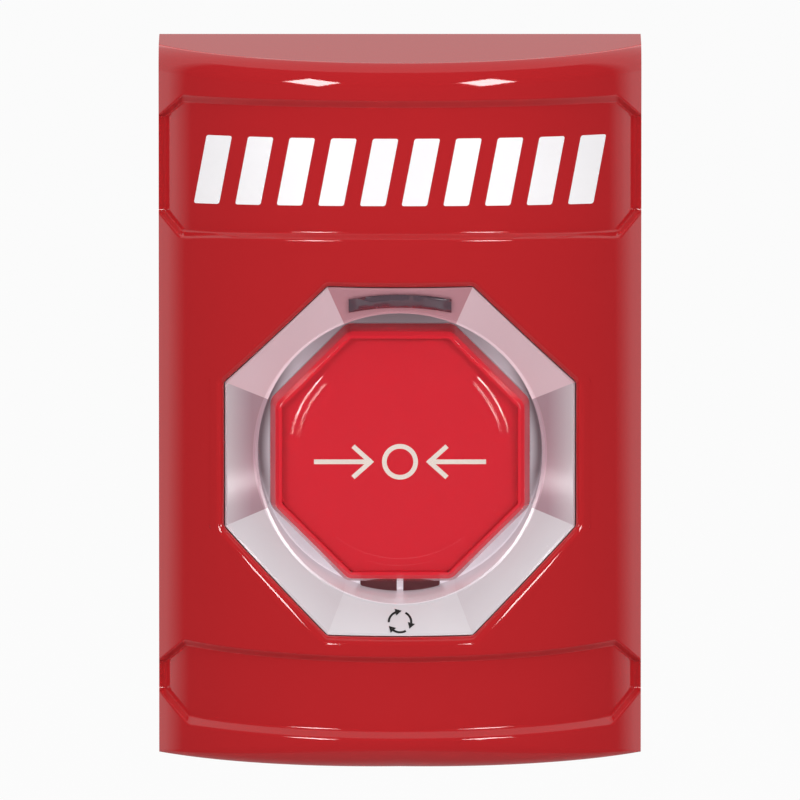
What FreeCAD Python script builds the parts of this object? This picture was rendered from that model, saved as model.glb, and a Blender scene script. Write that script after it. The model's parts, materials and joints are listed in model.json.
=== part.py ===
import FreeCAD, Part
import math
import os

# Wall-mounted emergency push station with a latching button that is released by turning it.
# Millimetres, +Z up, front towards -Y. The origin is the middle of the two wall-screw holes,
# on the wall plane. "depth" is the distance in front of that plane, so y = -depth.

Vector = FreeCAD.Vector
UP = Vector(0, 0, 1)
REARWARD = Vector(0, 1, 0)

# Front housing
HOUSING_WIDTH = 82.0
HOUSING_HEIGHT = 121.0
HOUSING_DEPTH = 40.9
HOUSING_BOW = 22.6
HOUSING_WALL = 2.5
HOUSING_MIDDLE_FILLET = 6.5
HOUSING_SIDE_FILLET = 0.5
OPENING_ACROSS = 59.7
OPENING_CORNER_RADIUS = 1.2
OPENING_EDGE_FILLET = 1.6

# Recessed bands on the housing; a rise is how much higher an edge lies at the middle than at its corner
BAND_RECESS = 1.3
BAND_END_STEP = 0.3
BAND_END_RUN = 1.9
BAND_END_SLOPE = 0.55
BAND_CORNER_INSET = 4.7
TOP_BAND_UPPER_Z = 52.9
TOP_BAND_UPPER_RISE = 1.0
TOP_BAND_UPPER_RUN = 1.4
TOP_BAND_LOWER_Z = 28.6
TOP_BAND_LOWER_RISE = 1.7
TOP_BAND_LOWER_RUN = 0.7
TOP_BAND_END_UPPER_Z = 48.7
TOP_BAND_END_LOWER_Z = 32.2
LOW_BAND_UPPER_Z = -40.4
LOW_BAND_UPPER_RISE = -0.6
LOW_BAND_UPPER_RUN = 0.8
LOW_BAND_LOWER_Z = -54.8
LOW_BAND_LOWER_RISE = -0.25
LOW_BAND_LOWER_RUN = 0.95
LOW_BAND_END_UPPER_Z = -44.7
LOW_BAND_END_LOWER_Z = -49.8

# Octagon bezel
BUTTON_Z = -7.85
SLIP = 0.15
BEZEL_INSET = 1.5
BEZEL_RIM_WIDTH = 0.4
BEZEL_RIM_STEP = 0.15
BEZEL_SHELL = 2.0
WELL_FLOOR_RADIUS = 24.0
WELL_SLOPE = 0.09
WELL_EDGE_INSET = 6.0
FLOOR_DEPTH = 20.5
FLOOR_THICKNESS = 2.2
FLANGE_WIDTH = 3.5
FLANGE_THICKNESS = 2.0
SLOT_INNER_RADIUS = 20.6
SLOT_OUTER_RADIUS = 24.75
SLOT_HALF_WIDTH = 6.7
SLOT_DIVIDER = 1.1
HUB_RADIUS = 10.5
HUB_LENGTH = 4.6

# Bezel towers on the housing's bosses
BOSS_OFFSET = 24.9
BOSS_RADIUS = 3.0
BOSS_TIP_DEPTH = 25.0
TOWER_RADIUS = 5.0
TOWER_FLOOR = 2.2

# Small screws and plain joints
SCREW_RADIUS = 1.4
SCREW_HEAD_RADIUS = 2.6
SCREW_HEAD_HEIGHT = 1.7
SCREW_LENGTH = 7.5
SCREW_HOLE_RADIUS = 1.6
PILOT_CLEARANCE = 0.05
DRIVE_RADIUS = 1.1
DRIVE_DEPTH = 0.9

# Indicator
LENS_WIDTH = 17.4
LENS_HEIGHT = 2.5
LENS_ARC_RADIUS = 40.0
LENS_TOP_ABOVE_BUTTON = 28.45
LENS_PROUD = 0.5
LENS_THICKNESS = 2.9
LIGHT_PIPE_WIDTH = 12.0
LIGHT_PIPE_HEIGHT = 0.9
LIGHT_PIPE_LENGTH = 4.0
BOARD_WIDTH = 24.0
BOARD_HEIGHT = 7.0
BOARD_THICKNESS = 1.2
LAMP_SPACING = 8.0
LAMP_SIZE = 2.6
LAMP_HEIGHT = 1.4
LAMP_GAP = 0.4
BOARD_RIB_WIDTH = 1.6
BOARD_GROOVE_DEPTH = 0.8

# Button
FACE_DEPTH = 30.9
CROWN_HEIGHT = 0.5
CROWN_RADIUS = 18.9
CROWN_STEP = 1.1
CAP_ACROSS = 42.3
CAP_BEVEL = 1.1
CAP_SKIRT_FLARE = 1.0
CAP_HEIGHT = 5.2
CAP_WALL = 0.9
CAP_CORNER_RADIUS = 2.0
TRAY_GAP = 0.1
TRAY_THICKNESS = 1.2
TRAY_SKIRT = 1.0
TRAY_HEIGHT = 2.6
STEM_RADIUS = 8.0
STEM_BORE_RADIUS = 4.6
RUNNING_GAP = 0.05
TRAVEL = 5.0
TURN_ANGLE = 45.0

# Latch cam and latch housing
CAM_SEAT_RADIUS = 7.0
CAM_GAP = 0.2
CAM_THICKNESS = 3.0
CAM_RADIUS = 10.9
LUG_RADIUS = 13.2
LUG_ANGLE = 30.0
STOP_ANGLE = 2.5
CAM_PIN_RADIUS = 0.9
CHAMBER_RADIUS = 13.6
BARREL_WALL = 2.4
STOP_RIB_INNER_RADIUS = 11.3
BARREL_FLOOR = 2.5
SPRING_SPACE = 10.8
TAIL_RADIUS = 6.0
EAR_PITCH_RADIUS = 22.0
EAR_RADIUS = 4.2
EAR_THICKNESS = 2.5
POST_RADIUS = 2.8
POST_LENGTH = 7.8
LEG_HALF_WIDTH = 6.0
LEG_THICKNESS = 2.6
LEG_INNER = 13.0

# Springs
RETURN_SPRING_RADIUS = 9.6
RETURN_SPRING_WIRE = 0.5
RETURN_SPRING_TURNS = 4
PLUNGER_SPRING_RADIUS = 2.35
PLUNGER_SPRING_WIRE = 0.25
PLUNGER_SPRING_TURNS = 6

# Push plate and its retaining ring
NECK_RADIUS = 4.2
PLATE_GAP = 0.3
PLATE_THICKNESS = 2.0
PLATE_HALF_WIDTH = 15.5
PLATE_HALF_HEIGHT = 15.0
PLATE_CORNER_CUT = 5.0
RING_THICKNESS = 0.9
RING_GROOVE = 0.7
RING_WIDTH = 1.9
RING_OPENING = 5.4
NECK_END = 0.8

# Contact carrier and contact blocks
CARRIER_GAP = 1.6
CARRIER_THICKNESS = 2.0
CARRIER_HALF_HEIGHT = 17.0
CARRIER_CENTRE_RADIUS = 5.4
ARM_THICKNESS = 1.4
ARM_LENGTH = 6.0
ARM_HALF_HEIGHT = 8.0
NIB_SIZE = 0.6
NIB_LENGTH = 1.0
BLOCK_INNER_X = 5.5
BLOCK_WIDTH = 12.0
BLOCK_HALF_HEIGHT = 15.0
BLOCK_LENGTH = 19.0
BLOCK_EDGE = 0.6
PLUNGER_RADIUS = 2.2
PLUNGER_COLLAR_RADIUS = 3.1
PLUNGER_COLLAR = 1.4
PLUNGER_NECK_RADIUS = 1.5
PLUNGER_NECK_LENGTH = 4.0
PLUNGER_TOUCH_GAP = 0.1
CHAMBER_FRONT_WALL = 4.0
CHAMBER_BACK_WALL = 3.5
CHAMBER_HALF_WIDTH = 4.3
CHAMBER_HALF_HEIGHT = 6.5
BRIDGE_HALF_HEIGHT = 5.6
BRIDGE_HALF_WIDTH = 2.4
CONTACT_THICKNESS = 0.8
CONTACT_HALF_WIDTH = 2.5
CONTACT_TIP = 4.0
CONTACT_END = 13.2
TERMINAL_OFFSET = 11.0
TERMINAL_POCKET_RADIUS = 3.0
TERMINAL_SCREW_RADIUS = 1.2
TERMINAL_SCREW_LENGTH = 5.5
TERMINAL_HEAD_LIFT = 2.6
WIRE_HOLE_RADIUS = 1.6
WIRE_HOLE_LIFT = 0.4

# Mounting plate
PLATE_FIT = 0.3
BACK_PLATE_THICKNESS = 2.5
BACK_PLATE_CORNER = 3.0
WALL_SCREW_SPACING = 83.3
WALL_SCREW_HOLE_RADIUS = 2.2
APERTURE_HALF_WIDTH = 24.0
APERTURE_TOP = 26.0
APERTURE_BOTTOM = -34.0
APERTURE_CORNER = 4.0
APERTURE_RIM_WIDTH = 1.8
APERTURE_RIM_HEIGHT = 2.0
HOOK_X = 22.0
HOOK_HALF_WIDTH = 4.0
HOOK_THICKNESS = 2.0
LEDGE_HEIGHT = 2.5
LEDGE_THICKNESS = 2.0
LEDGE_DEPTH = 3.2
LEDGE_MARGIN = 1.0
HOOK_GAP = 0.3
LUG_X = 25.0
LUG_HALF_WIDTH = 4.5
LUG_HEIGHT = 7.0
LUG_LENGTH = 8.0
HOUSING_SCREW_DEPTH = 6.4
COUNTERBORE_DEPTH = 1.3
HOUSING_SCREW_HEAD = 1.1
HOUSING_DRIVE_DEPTH = 0.6
COUNTERBORE_RADIUS = 3.0

# Places that follow from the sizes above
HALF_WIDTH = HOUSING_WIDTH / 2
HALF_HEIGHT = HOUSING_HEIGHT / 2
PLAN_RADIUS = (HALF_WIDTH**2 + HOUSING_BOW**2) / (2 * HOUSING_BOW)
BAND_CORNER_X = HALF_WIDTH - BAND_CORNER_INSET
PLAN_AXIS_Y = PLAN_RADIUS - HOUSING_DEPTH
OCTAGON_CORNER = 1 / math.cos(math.radians(22.5))
FAR = 80.0
OVER = 1.0  # how far a cutting or joined shape runs on past the face that it meets
FLOOR_BACK = FLOOR_DEPTH - FLOOR_THICKNESS
HUB_BACK = FLOOR_DEPTH - HUB_LENGTH
CAM_FRONT = HUB_BACK - CAM_GAP
CAM_BACK = CAM_FRONT - CAM_THICKNESS
BARREL_FLOOR_FRONT = CAM_BACK - SPRING_SPACE
BARREL_BACK = BARREL_FLOOR_FRONT - BARREL_FLOOR
PLATE_FRONT = BARREL_BACK - PLATE_GAP
PLATE_BACK = PLATE_FRONT - PLATE_THICKNESS
RING_FRONT = PLATE_BACK - RUNNING_GAP
RING_BACK = RING_FRONT - RING_THICKNESS
STEM_END = RING_BACK - NECK_END
CARRIER_FRONT = PLATE_BACK - TRAVEL - CARRIER_GAP
CARRIER_BACK = CARRIER_FRONT - CARRIER_THICKNESS
BLOCK_BACK = CARRIER_BACK - BLOCK_LENGTH
BLOCK_CENTRE_X = BLOCK_INNER_X + BLOCK_WIDTH / 2
PLUNGER_FRONT = PLATE_BACK - PLUNGER_TOUCH_GAP
CHAMBER_FRONT = CARRIER_BACK - CHAMBER_FRONT_WALL
CHAMBER_BACK = BLOCK_BACK + CHAMBER_BACK_WALL
BRIDGE_FRONT = CHAMBER_FRONT - PLUNGER_TOUCH_GAP - PLUNGER_COLLAR
BRIDGE_BACK = BRIDGE_FRONT - CONTACT_THICKNESS
CONTACT_FRONT = BRIDGE_BACK - TRAVEL - PLUNGER_TOUCH_GAP
CONTACT_BACK = CONTACT_FRONT - CONTACT_THICKNESS
BASE_BACK = FACE_DEPTH - CAP_HEIGHT
POST_BACK = FLOOR_BACK - POST_LENGTH
ARM_INNER_X = BLOCK_INNER_X + BLOCK_WIDTH + SLIP
CARRIER_HALF_WIDTH = ARM_INNER_X + ARM_THICKNESS
CAVITY_HALF_WIDTH = HALF_WIDTH - HOUSING_WALL
CAVITY_HALF_HEIGHT = HALF_HEIGHT - HOUSING_WALL


def at(x, depth, z):
    return Vector(x, -depth, z)


def block(x0, x1, back, front, z0, z1):
    """A box between two depths."""
    return Part.makeBox(x1 - x0, front - back, z1 - z0, at(x0, front, z0))


def rod(x, z, radius, back, front):
    """A round rod along the depth axis."""
    return Part.makeCylinder(radius, front - back, at(x, front, z), REARWARD)


def tube(x, z, radius, bore, back, front):
    return rod(x, z, radius, back, front).cut(rod(x, z, bore, back, front))


def plan_disc(radius, z0=-FAR, z1=FAR):
    """A vertical cylinder on the axis of the housing's curved front."""
    return Part.makeCylinder(radius, z1 - z0, Vector(0, PLAN_AXIS_Y, z0), UP)


def curve_depth(x, radius):
    """The depth at x of a vertical cylinder on the axis of the curved front."""
    return math.sqrt(radius**2 - x**2) - PLAN_AXIS_Y


def join(first, *rest):
    return first.multiFuse(list(rest)).removeSplitter() if rest else first


def octagon_points(across):
    radius = across / 2 * OCTAGON_CORNER
    angles = [math.radians(22.5 + 45 * k) for k in range(8)]
    return [(radius * math.cos(a), BUTTON_Z + radius * math.sin(a)) for a in angles]


def octagon_wire(across, depth, corner=0.0):
    """A flat octagon round the button axis, its corners rounded where corner is above zero."""
    points = [at(x, depth, z) for x, z in octagon_points(across)]
    if corner == 0:
        return Part.makePolygon(points + points[:1])
    setback = corner * math.tan(math.radians(22.5))
    centre = at(0, depth, BUTTON_Z)
    edges = []
    for k, point in enumerate(points):
        before, after = points[k - 1], points[(k + 1) % 8]
        start = point + (before - point).normalize() * setback
        end = point + (after - point).normalize() * setback
        inward = (centre - point).normalize()
        middle = point + inward * (corner * OCTAGON_CORNER - corner)
        edges.append(Part.Arc(start, middle, end).toShape())
        next_start = after + (point - after).normalize() * setback
        edges.append(Part.LineSegment(end, next_start).toShape())
    return Part.Wire(edges)


def octagon_prism(across, back, front, corner=0.0):
    face = Part.Face(octagon_wire(across, front, corner))
    return face.extrude(REARWARD * (front - back))


def screw(x, z, seat, head_side, length=SCREW_LENGTH, head_height=SCREW_HEAD_HEIGHT, radius=SCREW_RADIUS):
    """A pan-head screw along the depth axis; head_side is -1 where its head lies behind the seat."""
    head_end = seat + head_side * head_height
    tip = seat - head_side * length
    head = rod(x, z, SCREW_HEAD_RADIUS, min(seat, head_end), max(seat, head_end))
    shank = rod(x, z, radius, min(seat, tip), max(seat, tip))
    recess_end = head_end - head_side * DRIVE_DEPTH
    recess = rod(x, z, DRIVE_RADIUS, min(head_end, recess_end), max(head_end, recess_end))
    return head.fuse(shank).removeSplitter().cut(recess)


def coil(radius, wire_radius, turns, sweeps, back, front, x):
    """A compression spring along the depth axis, joined from equal sweeps of whole turns."""
    height = front - back - 2 * wire_radius
    sweep_height = height / sweeps
    helix = Part.makeHelix(height / turns, sweep_height, radius)
    section = Part.Wire(Part.makeCircle(wire_radius, Vector(radius, 0, 0), REARWARD))
    sweep = Part.Wire(helix.Edges).makePipeShell([section], True, True)
    spring = sweep
    if sweeps > 1:
        spring = sweep.multiFuse([sweep.translated(UP * (sweep_height * k)) for k in range(1, sweeps)])
    spring.rotate(Vector(0, 0, 0), Vector(1, 0, 0), -90)
    spring.translate(at(x, front - wire_radius, BUTTON_Z))
    return spring


# Front housing


def wall_limit(z_corner, rise, run, side):
    """Everything under (side 1) or over (side -1) a band's sloped wall, which tilts by its rise."""
    reach = PLAN_RADIUS - math.sqrt(PLAN_RADIUS**2 - BAND_CORNER_X**2)
    tilt = math.atan(rise / reach)
    z_axis = z_corner + rise - PLAN_RADIUS * math.tan(tilt)
    slope = side * run / BAND_RECESS
    far_radius = PLAN_RADIUS + 12
    profile = [
        Vector(0, 0, -side * FAR),
        Vector(far_radius, 0, -side * FAR),
        Vector(far_radius, 0, (far_radius - PLAN_RADIUS) * slope),
        Vector(0, 0, -PLAN_RADIUS * slope),
    ]
    face = Part.Face(Part.makePolygon(profile + profile[:1]))
    limit = face.revolve(Vector(0, 0, 0), UP, 360)
    limit.rotate(Vector(0, 0, 0), Vector(1, 0, 0), -math.degrees(tilt))
    limit.translate(Vector(0, PLAN_AXIS_Y, z_axis))
    return limit


def beyond(a, b, c, outward):
    """A large round block on the outward side of the plane through three points."""
    normal = (b - a).cross(c - a)
    if normal.dot(outward) < 0:
        normal = normal * -1
    return Part.makeCylinder(2 * FAR, 2 * FAR, a, normal)


def band_cutter(upper, lower, end_upper_z, end_lower_z):
    """The space of one recessed band; upper and lower are (corner z, rise, run) of its long walls."""
    recess_radius = PLAN_RADIUS - BAND_RECESS
    band = plan_disc(PLAN_RADIUS + 8).cut(plan_disc(recess_radius))
    band = band.common(block(-HALF_WIDTH - 5, HALF_WIDTH + 5, 5, FAR, -FAR, FAR))
    band = band.common(wall_limit(*upper, 1)).common(wall_limit(*lower, -1))
    side_depth = curve_depth(HALF_WIDTH, PLAN_RADIUS)
    floor_x = HALF_WIDTH - BAND_END_RUN
    floor_depth = curve_depth(floor_x, recess_radius)
    corner_depth = curve_depth(BAND_CORNER_X, PLAN_RADIUS)
    for side in (-1, 1):
        rim = at(side * HALF_WIDTH, side_depth - BAND_END_STEP, 0)
        foot = at(side * floor_x, floor_depth, 0)
        band = band.cut(beyond(rim, foot, rim + UP, REARWARD))
        for z_end, (z_corner, _, _), direction in ((end_upper_z, upper, 1), (end_lower_z, lower, -1)):
            end = at(side * HALF_WIDTH, side_depth, z_end)
            corner = at(side * BAND_CORNER_X, corner_depth, z_corner)
            inner = at(side * floor_x, floor_depth, z_end - direction * BAND_END_SLOPE)
            x0, x1 = sorted((side * (BAND_CORNER_X - 1.5), side * (HALF_WIDTH + 10)))
            chamfer = beyond(end, corner, inner, Vector(side, 0, direction))
            band = band.cut(chamfer.common(block(x0, x1, 0, FAR, -FAR, FAR)))
    return band


def near_edges(shape, test):
    return [e for e in shape.Edges if test(e)]


def front_edge(radius, z):
    """A test for the arc where the curved front of that radius meets the level z."""

    def test(edge):
        flat = abs(edge.BoundBox.ZMax - z) < 1e-6 and abs(edge.BoundBox.ZMin - z) < 1e-6
        return flat and hasattr(edge.Curve, "Radius") and abs(edge.Curve.Radius - radius) < 1e-6

    return test


def rounded_d_solid(half_width, half_height, radius, middle_fillet, side_fillet, back):
    """The housing's D-shaped solid; its front is rounded above and below, most in the middle."""
    half = plan_disc(radius, -half_height, half_height)
    half = half.common(block(0, half_width, back, FAR, -FAR, FAR))
    for z in (half_height, -half_height):
        half = half.makeFillet(middle_fillet, side_fillet, near_edges(half, front_edge(radius, z)))
    return half.fuse(half.mirror(Vector(0, 0, 0), Vector(1, 0, 0))).removeSplitter()


def front_housing():
    outer = rounded_d_solid(
        HALF_WIDTH, HALF_HEIGHT, PLAN_RADIUS, HOUSING_MIDDLE_FILLET, HOUSING_SIDE_FILLET, 0
    )
    top_band = band_cutter(
        (TOP_BAND_UPPER_Z, TOP_BAND_UPPER_RISE, TOP_BAND_UPPER_RUN),
        (TOP_BAND_LOWER_Z, TOP_BAND_LOWER_RISE, TOP_BAND_LOWER_RUN),
        TOP_BAND_END_UPPER_Z,
        TOP_BAND_END_LOWER_Z,
    )
    low_band = band_cutter(
        (LOW_BAND_UPPER_Z, LOW_BAND_UPPER_RISE, LOW_BAND_UPPER_RUN),
        (LOW_BAND_LOWER_Z, LOW_BAND_LOWER_RISE, LOW_BAND_LOWER_RUN),
        LOW_BAND_END_UPPER_Z,
        LOW_BAND_END_LOWER_Z,
    )
    opening = octagon_prism(OPENING_ACROSS, 5, FAR, OPENING_CORNER_RADIUS)
    shell = outer.cut(top_band).cut(low_band).cut(opening)
    shell = shell.makeFillet(OPENING_EDGE_FILLET, near_edges(shell, is_opening_rim))
    inner_radius = PLAN_RADIUS - HOUSING_WALL
    inner_fillets = (HOUSING_MIDDLE_FILLET - HOUSING_WALL, HOUSING_SIDE_FILLET)
    cavity = rounded_d_solid(CAVITY_HALF_WIDTH, CAVITY_HALF_HEIGHT, inner_radius, *inner_fillets, -1)
    shell = shell.cut(cavity)
    inside = rounded_d_solid(
        CAVITY_HALF_WIDTH + OVER, CAVITY_HALF_HEIGHT + OVER, inner_radius + OVER, *inner_fillets, 0
    )
    for x, z in boss_places():
        boss = rod(x, z, BOSS_RADIUS, BOSS_TIP_DEPTH, FAR).common(inside)
        shell = shell.fuse(boss)
        pilot_end = BOSS_TIP_DEPTH + SCREW_LENGTH - OVER
        shell = shell.cut(rod(x, z, SCREW_RADIUS + PILOT_CLEARANCE, BOSS_TIP_DEPTH - OVER, pilot_end))
    for side in (-1, 1):
        x = side * HOOK_X
        ledge = block(
            x - HOOK_HALF_WIDTH - LEDGE_MARGIN,
            x + HOOK_HALF_WIDTH + LEDGE_MARGIN,
            LEDGE_DEPTH,
            LEDGE_DEPTH + LEDGE_THICKNESS,
            CAVITY_HALF_HEIGHT - LEDGE_HEIGHT,
            CAVITY_HALF_HEIGHT + OVER,
        )
        shell = shell.fuse(ledge)
        below = -HALF_HEIGHT - OVER
        hole = upright_rod(side * LUG_X, SCREW_HOLE_RADIUS, below, -CAVITY_HALF_HEIGHT + OVER)
        counterbore = upright_rod(side * LUG_X, COUNTERBORE_RADIUS, below, -HALF_HEIGHT + COUNTERBORE_DEPTH)
        shell = shell.cut(hole).cut(counterbore)
    return shell.removeSplitter()


def is_opening_rim(edge):
    """The edges where the octagonal opening meets the curved front."""
    middle = edge.valueAt((edge.FirstParameter + edge.LastParameter) / 2)
    off_axis = math.hypot(middle.x, middle.y - PLAN_AXIS_Y)
    in_reach = math.hypot(middle.x, middle.z - BUTTON_Z) < OPENING_ACROSS / 2 * OCTAGON_CORNER + 0.5
    along_wall = abs(edge.BoundBox.YLength) > HOUSING_DEPTH / 2
    return abs(off_axis - PLAN_RADIUS) < 1e-3 and in_reach and not along_wall


def upright_rod(x, radius, z0, z1):
    """A vertical rod in line with the housing screws."""
    return Part.makeCylinder(radius, z1 - z0, at(x, HOUSING_SCREW_DEPTH, z0), UP)


def boss_places():
    return [(sx * BOSS_OFFSET, BUTTON_Z + sz * BOSS_OFFSET) for sx in (-1, 1) for sz in (-1, 1)]


def housing_screws():
    seat = -HALF_HEIGHT + COUNTERBORE_DEPTH
    solids = []
    for side in (-1, 1):
        head = upright_rod(side * LUG_X, SCREW_HEAD_RADIUS, seat - HOUSING_SCREW_HEAD, seat)
        shank = upright_rod(side * LUG_X, SCREW_RADIUS, seat, seat + SCREW_LENGTH)
        head_end = seat - HOUSING_SCREW_HEAD
        recess = upright_rod(side * LUG_X, DRIVE_RADIUS, head_end, head_end + HOUSING_DRIVE_DEPTH)
        solids.append(head.fuse(shank).removeSplitter().cut(recess))
    return Part.makeCompound(solids)


# Octagon bezel


def rim_wire(across, radius):
    """An octagon that follows a vertical cylinder of the curved front."""
    corners = octagon_points(across)
    edges = []
    for k, (x0, z0) in enumerate(corners):
        x1, z1 = corners[(k + 1) % 8]
        points = []
        for step in range(7):
            x = x0 + (x1 - x0) * step / 6
            z = z0 + (z1 - z0) * step / 6
            points.append(at(x, curve_depth(x, radius), z))
        edges.append(spline(points))
    return Part.Wire(edges)


def well_radius(depth):
    """The radius of the well's conical wall at a depth."""
    return WELL_FLOOR_RADIUS + WELL_SLOPE * (depth - FLOOR_DEPTH)


def well_wire(grow, radius):
    """The edge of the conical well where it meets a vertical cylinder of the curved front."""
    edges = []
    for k in range(8):
        points = []
        for step in range(7):
            angle = math.radians(22.5 + 45 * k + 45 * step / 6)
            reach = well_radius(curve_depth(0, radius)) + grow
            for _ in range(4):
                depth = curve_depth(reach * math.cos(angle), radius)
                reach = well_radius(depth) + grow
            points.append(at(reach * math.cos(angle), depth, BUTTON_Z + reach * math.sin(angle)))
        edges.append(spline(points))
    return Part.Wire(edges)


def circle_wire(radius, depth):
    """A flat circle round the button axis in eight arcs."""
    edges = []
    for k in range(8):
        places = [math.radians(22.5 + 45 * k + part) for part in (0, 22.5, 45)]
        points = [at(radius * math.cos(a), depth, BUTTON_Z + radius * math.sin(a)) for a in places]
        edges.append(Part.Arc(*points).toShape())
    return Part.Wire(edges)


def spline(points):
    curve = Part.BSplineCurve()
    curve.interpolate(points)
    return curve.toShape()


def dish_solid(across, rim_radius, edge_radius, grow, floor_depth):
    """The octagonal dish and its round well as one solid that runs on towards the front."""
    wires = [
        octagon_wire(across, HOUSING_DEPTH + 5),
        rim_wire(across, rim_radius),
        well_wire(grow, edge_radius),
        circle_wire(well_radius(floor_depth) + grow, floor_depth),
    ]
    return Part.makeLoft(wires, True, True)


def octagon_bezel():
    rim_radius = PLAN_RADIUS - BEZEL_INSET - BEZEL_RIM_STEP
    edge_radius = PLAN_RADIUS - WELL_EDGE_INSET
    plug_across = OPENING_ACROSS - 2 * SLIP
    dish = dish_solid(plug_across - 2 * BEZEL_RIM_WIDTH, rim_radius, edge_radius, 0, FLOOR_DEPTH)
    outside = dish_solid(
        plug_across, rim_radius - BEZEL_SHELL, edge_radius - BEZEL_SHELL, BEZEL_SHELL, FLOOR_BACK
    )
    outside = outside.common(plan_disc(PLAN_RADIUS - BEZEL_INSET))
    flange_front = PLAN_RADIUS - HOUSING_WALL - SLIP
    flange = plan_disc(flange_front).cut(plan_disc(flange_front - FLANGE_THICKNESS))
    flange = flange.common(octagon_prism(OPENING_ACROSS + 2 * FLANGE_WIDTH, 10, FAR, OPENING_CORNER_RADIUS))
    tower_back = BOSS_TIP_DEPTH - TOWER_FLOOR
    towers = [
        rod(x, z, TOWER_RADIUS, tower_back, FAR).common(plan_disc(flange_front)) for x, z in boss_places()
    ]
    posts = [rod(x, z, POST_RADIUS, POST_BACK, FLOOR_BACK) for x, z in ear_places()]
    hub = rod(0, BUTTON_Z, HUB_RADIUS, HUB_BACK, FLOOR_DEPTH)
    body = join(outside, flange, *towers, *posts, hub, *board_ribs())
    body = body.cut(dish).cut(rod(0, BUTTON_Z, STEM_RADIUS + RUNNING_GAP, 0, FAR))
    for x, z in boss_places():
        body = body.cut(rod(x, z, BOSS_RADIUS + SLIP, BOSS_TIP_DEPTH, FAR))
        body = body.cut(rod(x, z, SCREW_HOLE_RADIUS, tower_back - OVER, BOSS_TIP_DEPTH + OVER))
    for x, z in ear_places():
        pilot_end = POST_BACK + SCREW_LENGTH - EAR_THICKNESS + OVER
        body = body.cut(rod(x, z, SCREW_RADIUS + PILOT_CLEARANCE, POST_BACK - OVER, pilot_end))
    body = body.cut(floor_slots()).cut(lens_shape(SLIP / 2)).cut(board_groove())
    return body.removeSplitter()


def floor_slots():
    """Two slots through the well's floor and the foot of its wall, with a thin divider between them."""
    ring = tube(0, BUTTON_Z, SLOT_OUTER_RADIUS, SLOT_INNER_RADIUS, FLOOR_BACK - OVER, FAR)
    low = BUTTON_Z - SLOT_OUTER_RADIUS
    slots = ring.common(block(-SLOT_HALF_WIDTH, SLOT_HALF_WIDTH, 0, FAR, low - OVER, BUTTON_Z))
    return slots.cut(block(-SLOT_DIVIDER / 2, SLOT_DIVIDER / 2, 0, FAR, low - OVER, BUTTON_Z))


def ear_places():
    reach = EAR_PITCH_RADIUS * math.cos(math.radians(45))
    return [(sx * reach, BUTTON_Z + sz * reach) for sx in (-1, 1) for sz in (-1, 1)]


def bezel_screws():
    seat = BOSS_TIP_DEPTH - TOWER_FLOOR
    return Part.makeCompound([screw(x, z, seat, -1) for x, z in boss_places()])


# Indicator


def lens_prism(grow, back, front):
    """The arched outline of the lens as a prism."""
    half = LENS_WIDTH / 2 + grow
    top = BUTTON_Z + LENS_TOP_ABOVE_BUTTON + grow
    bottom = top - LENS_HEIGHT - 2 * grow
    drop = LENS_ARC_RADIUS - math.sqrt(LENS_ARC_RADIUS**2 - half**2)
    upper = Part.Arc(at(-half, front, top - drop), at(0, front, top), at(half, front, top - drop)).toShape()
    lower = Part.Arc(
        at(half, front, bottom - drop), at(0, front, bottom), at(-half, front, bottom - drop)
    ).toShape()
    right = Part.LineSegment(at(half, front, top - drop), at(half, front, bottom - drop)).toShape()
    left = Part.LineSegment(at(-half, front, bottom - drop), at(-half, front, top - drop)).toShape()
    face = Part.Face(Part.Wire([upper, right, lower, left]))
    return face.extrude(REARWARD * (front - back))


def facet_layer(lift):
    """The space behind the dish's facets, moved forwards by lift."""
    rim_radius = PLAN_RADIUS - BEZEL_INSET - BEZEL_RIM_STEP + lift
    across = OPENING_ACROSS - 2 * SLIP - 2 * BEZEL_RIM_WIDTH
    edge_radius = PLAN_RADIUS - WELL_EDGE_INSET + lift
    front = dish_solid(across, rim_radius, edge_radius, 0, FLOOR_DEPTH)
    return octagon_prism(across - 0.02, 0, HOUSING_DEPTH + 4).cut(front)


def lens_shape(grow):
    """The lens plate that follows the top facet, with its light pipe; grow makes its seat."""
    plate = lens_prism(grow, 0, FAR / 2 + 15)
    front = facet_layer(LENS_PROUD if grow == 0 else LENS_PROUD + 2)
    back = facet_layer(LENS_PROUD - LENS_THICKNESS - grow)
    plate = plate.common(front).cut(back)
    plate = plate.common(block(-HALF_WIDTH, HALF_WIDTH, lens_back(), FAR, BUTTON_Z, FAR))
    half = LIGHT_PIPE_WIDTH / 2 + grow
    top = BUTTON_Z + LENS_TOP_ABOVE_BUTTON - pipe_drop() + grow
    pipe = block(-half, half, pipe_back() - grow, lens_back() + 2.5, top - LIGHT_PIPE_HEIGHT - 2 * grow, top)
    return plate.fuse(pipe).removeSplitter()


def pipe_drop():
    """How far the lens arch falls at the sides of the light pipe."""
    half = LIGHT_PIPE_WIDTH / 2
    return LENS_ARC_RADIUS - math.sqrt(LENS_ARC_RADIUS**2 - half**2)


def lens_back():
    """The depth where the lens plate ends, a lens thickness behind the facet's middle."""
    return curve_depth(0, PLAN_RADIUS - WELL_EDGE_INSET) - LENS_THICKNESS + LENS_PROUD


def pipe_back():
    return lens_back() - LIGHT_PIPE_LENGTH


def board_front():
    return pipe_back() - LAMP_GAP - LAMP_HEIGHT


def board_bottom():
    """The board stands just over the outside of the well's wall."""
    return BUTTON_Z + well_radius(board_front()) + BEZEL_SHELL + 2 * SLIP


def board_solid(grow):
    half = BOARD_WIDTH / 2 + grow
    front = board_front()
    return block(
        -half,
        half,
        front - BOARD_THICKNESS - grow,
        front + grow,
        board_bottom() - grow,
        board_bottom() + BOARD_HEIGHT + grow,
    )


def board_groove():
    return board_solid(SLIP / 2)


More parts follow.
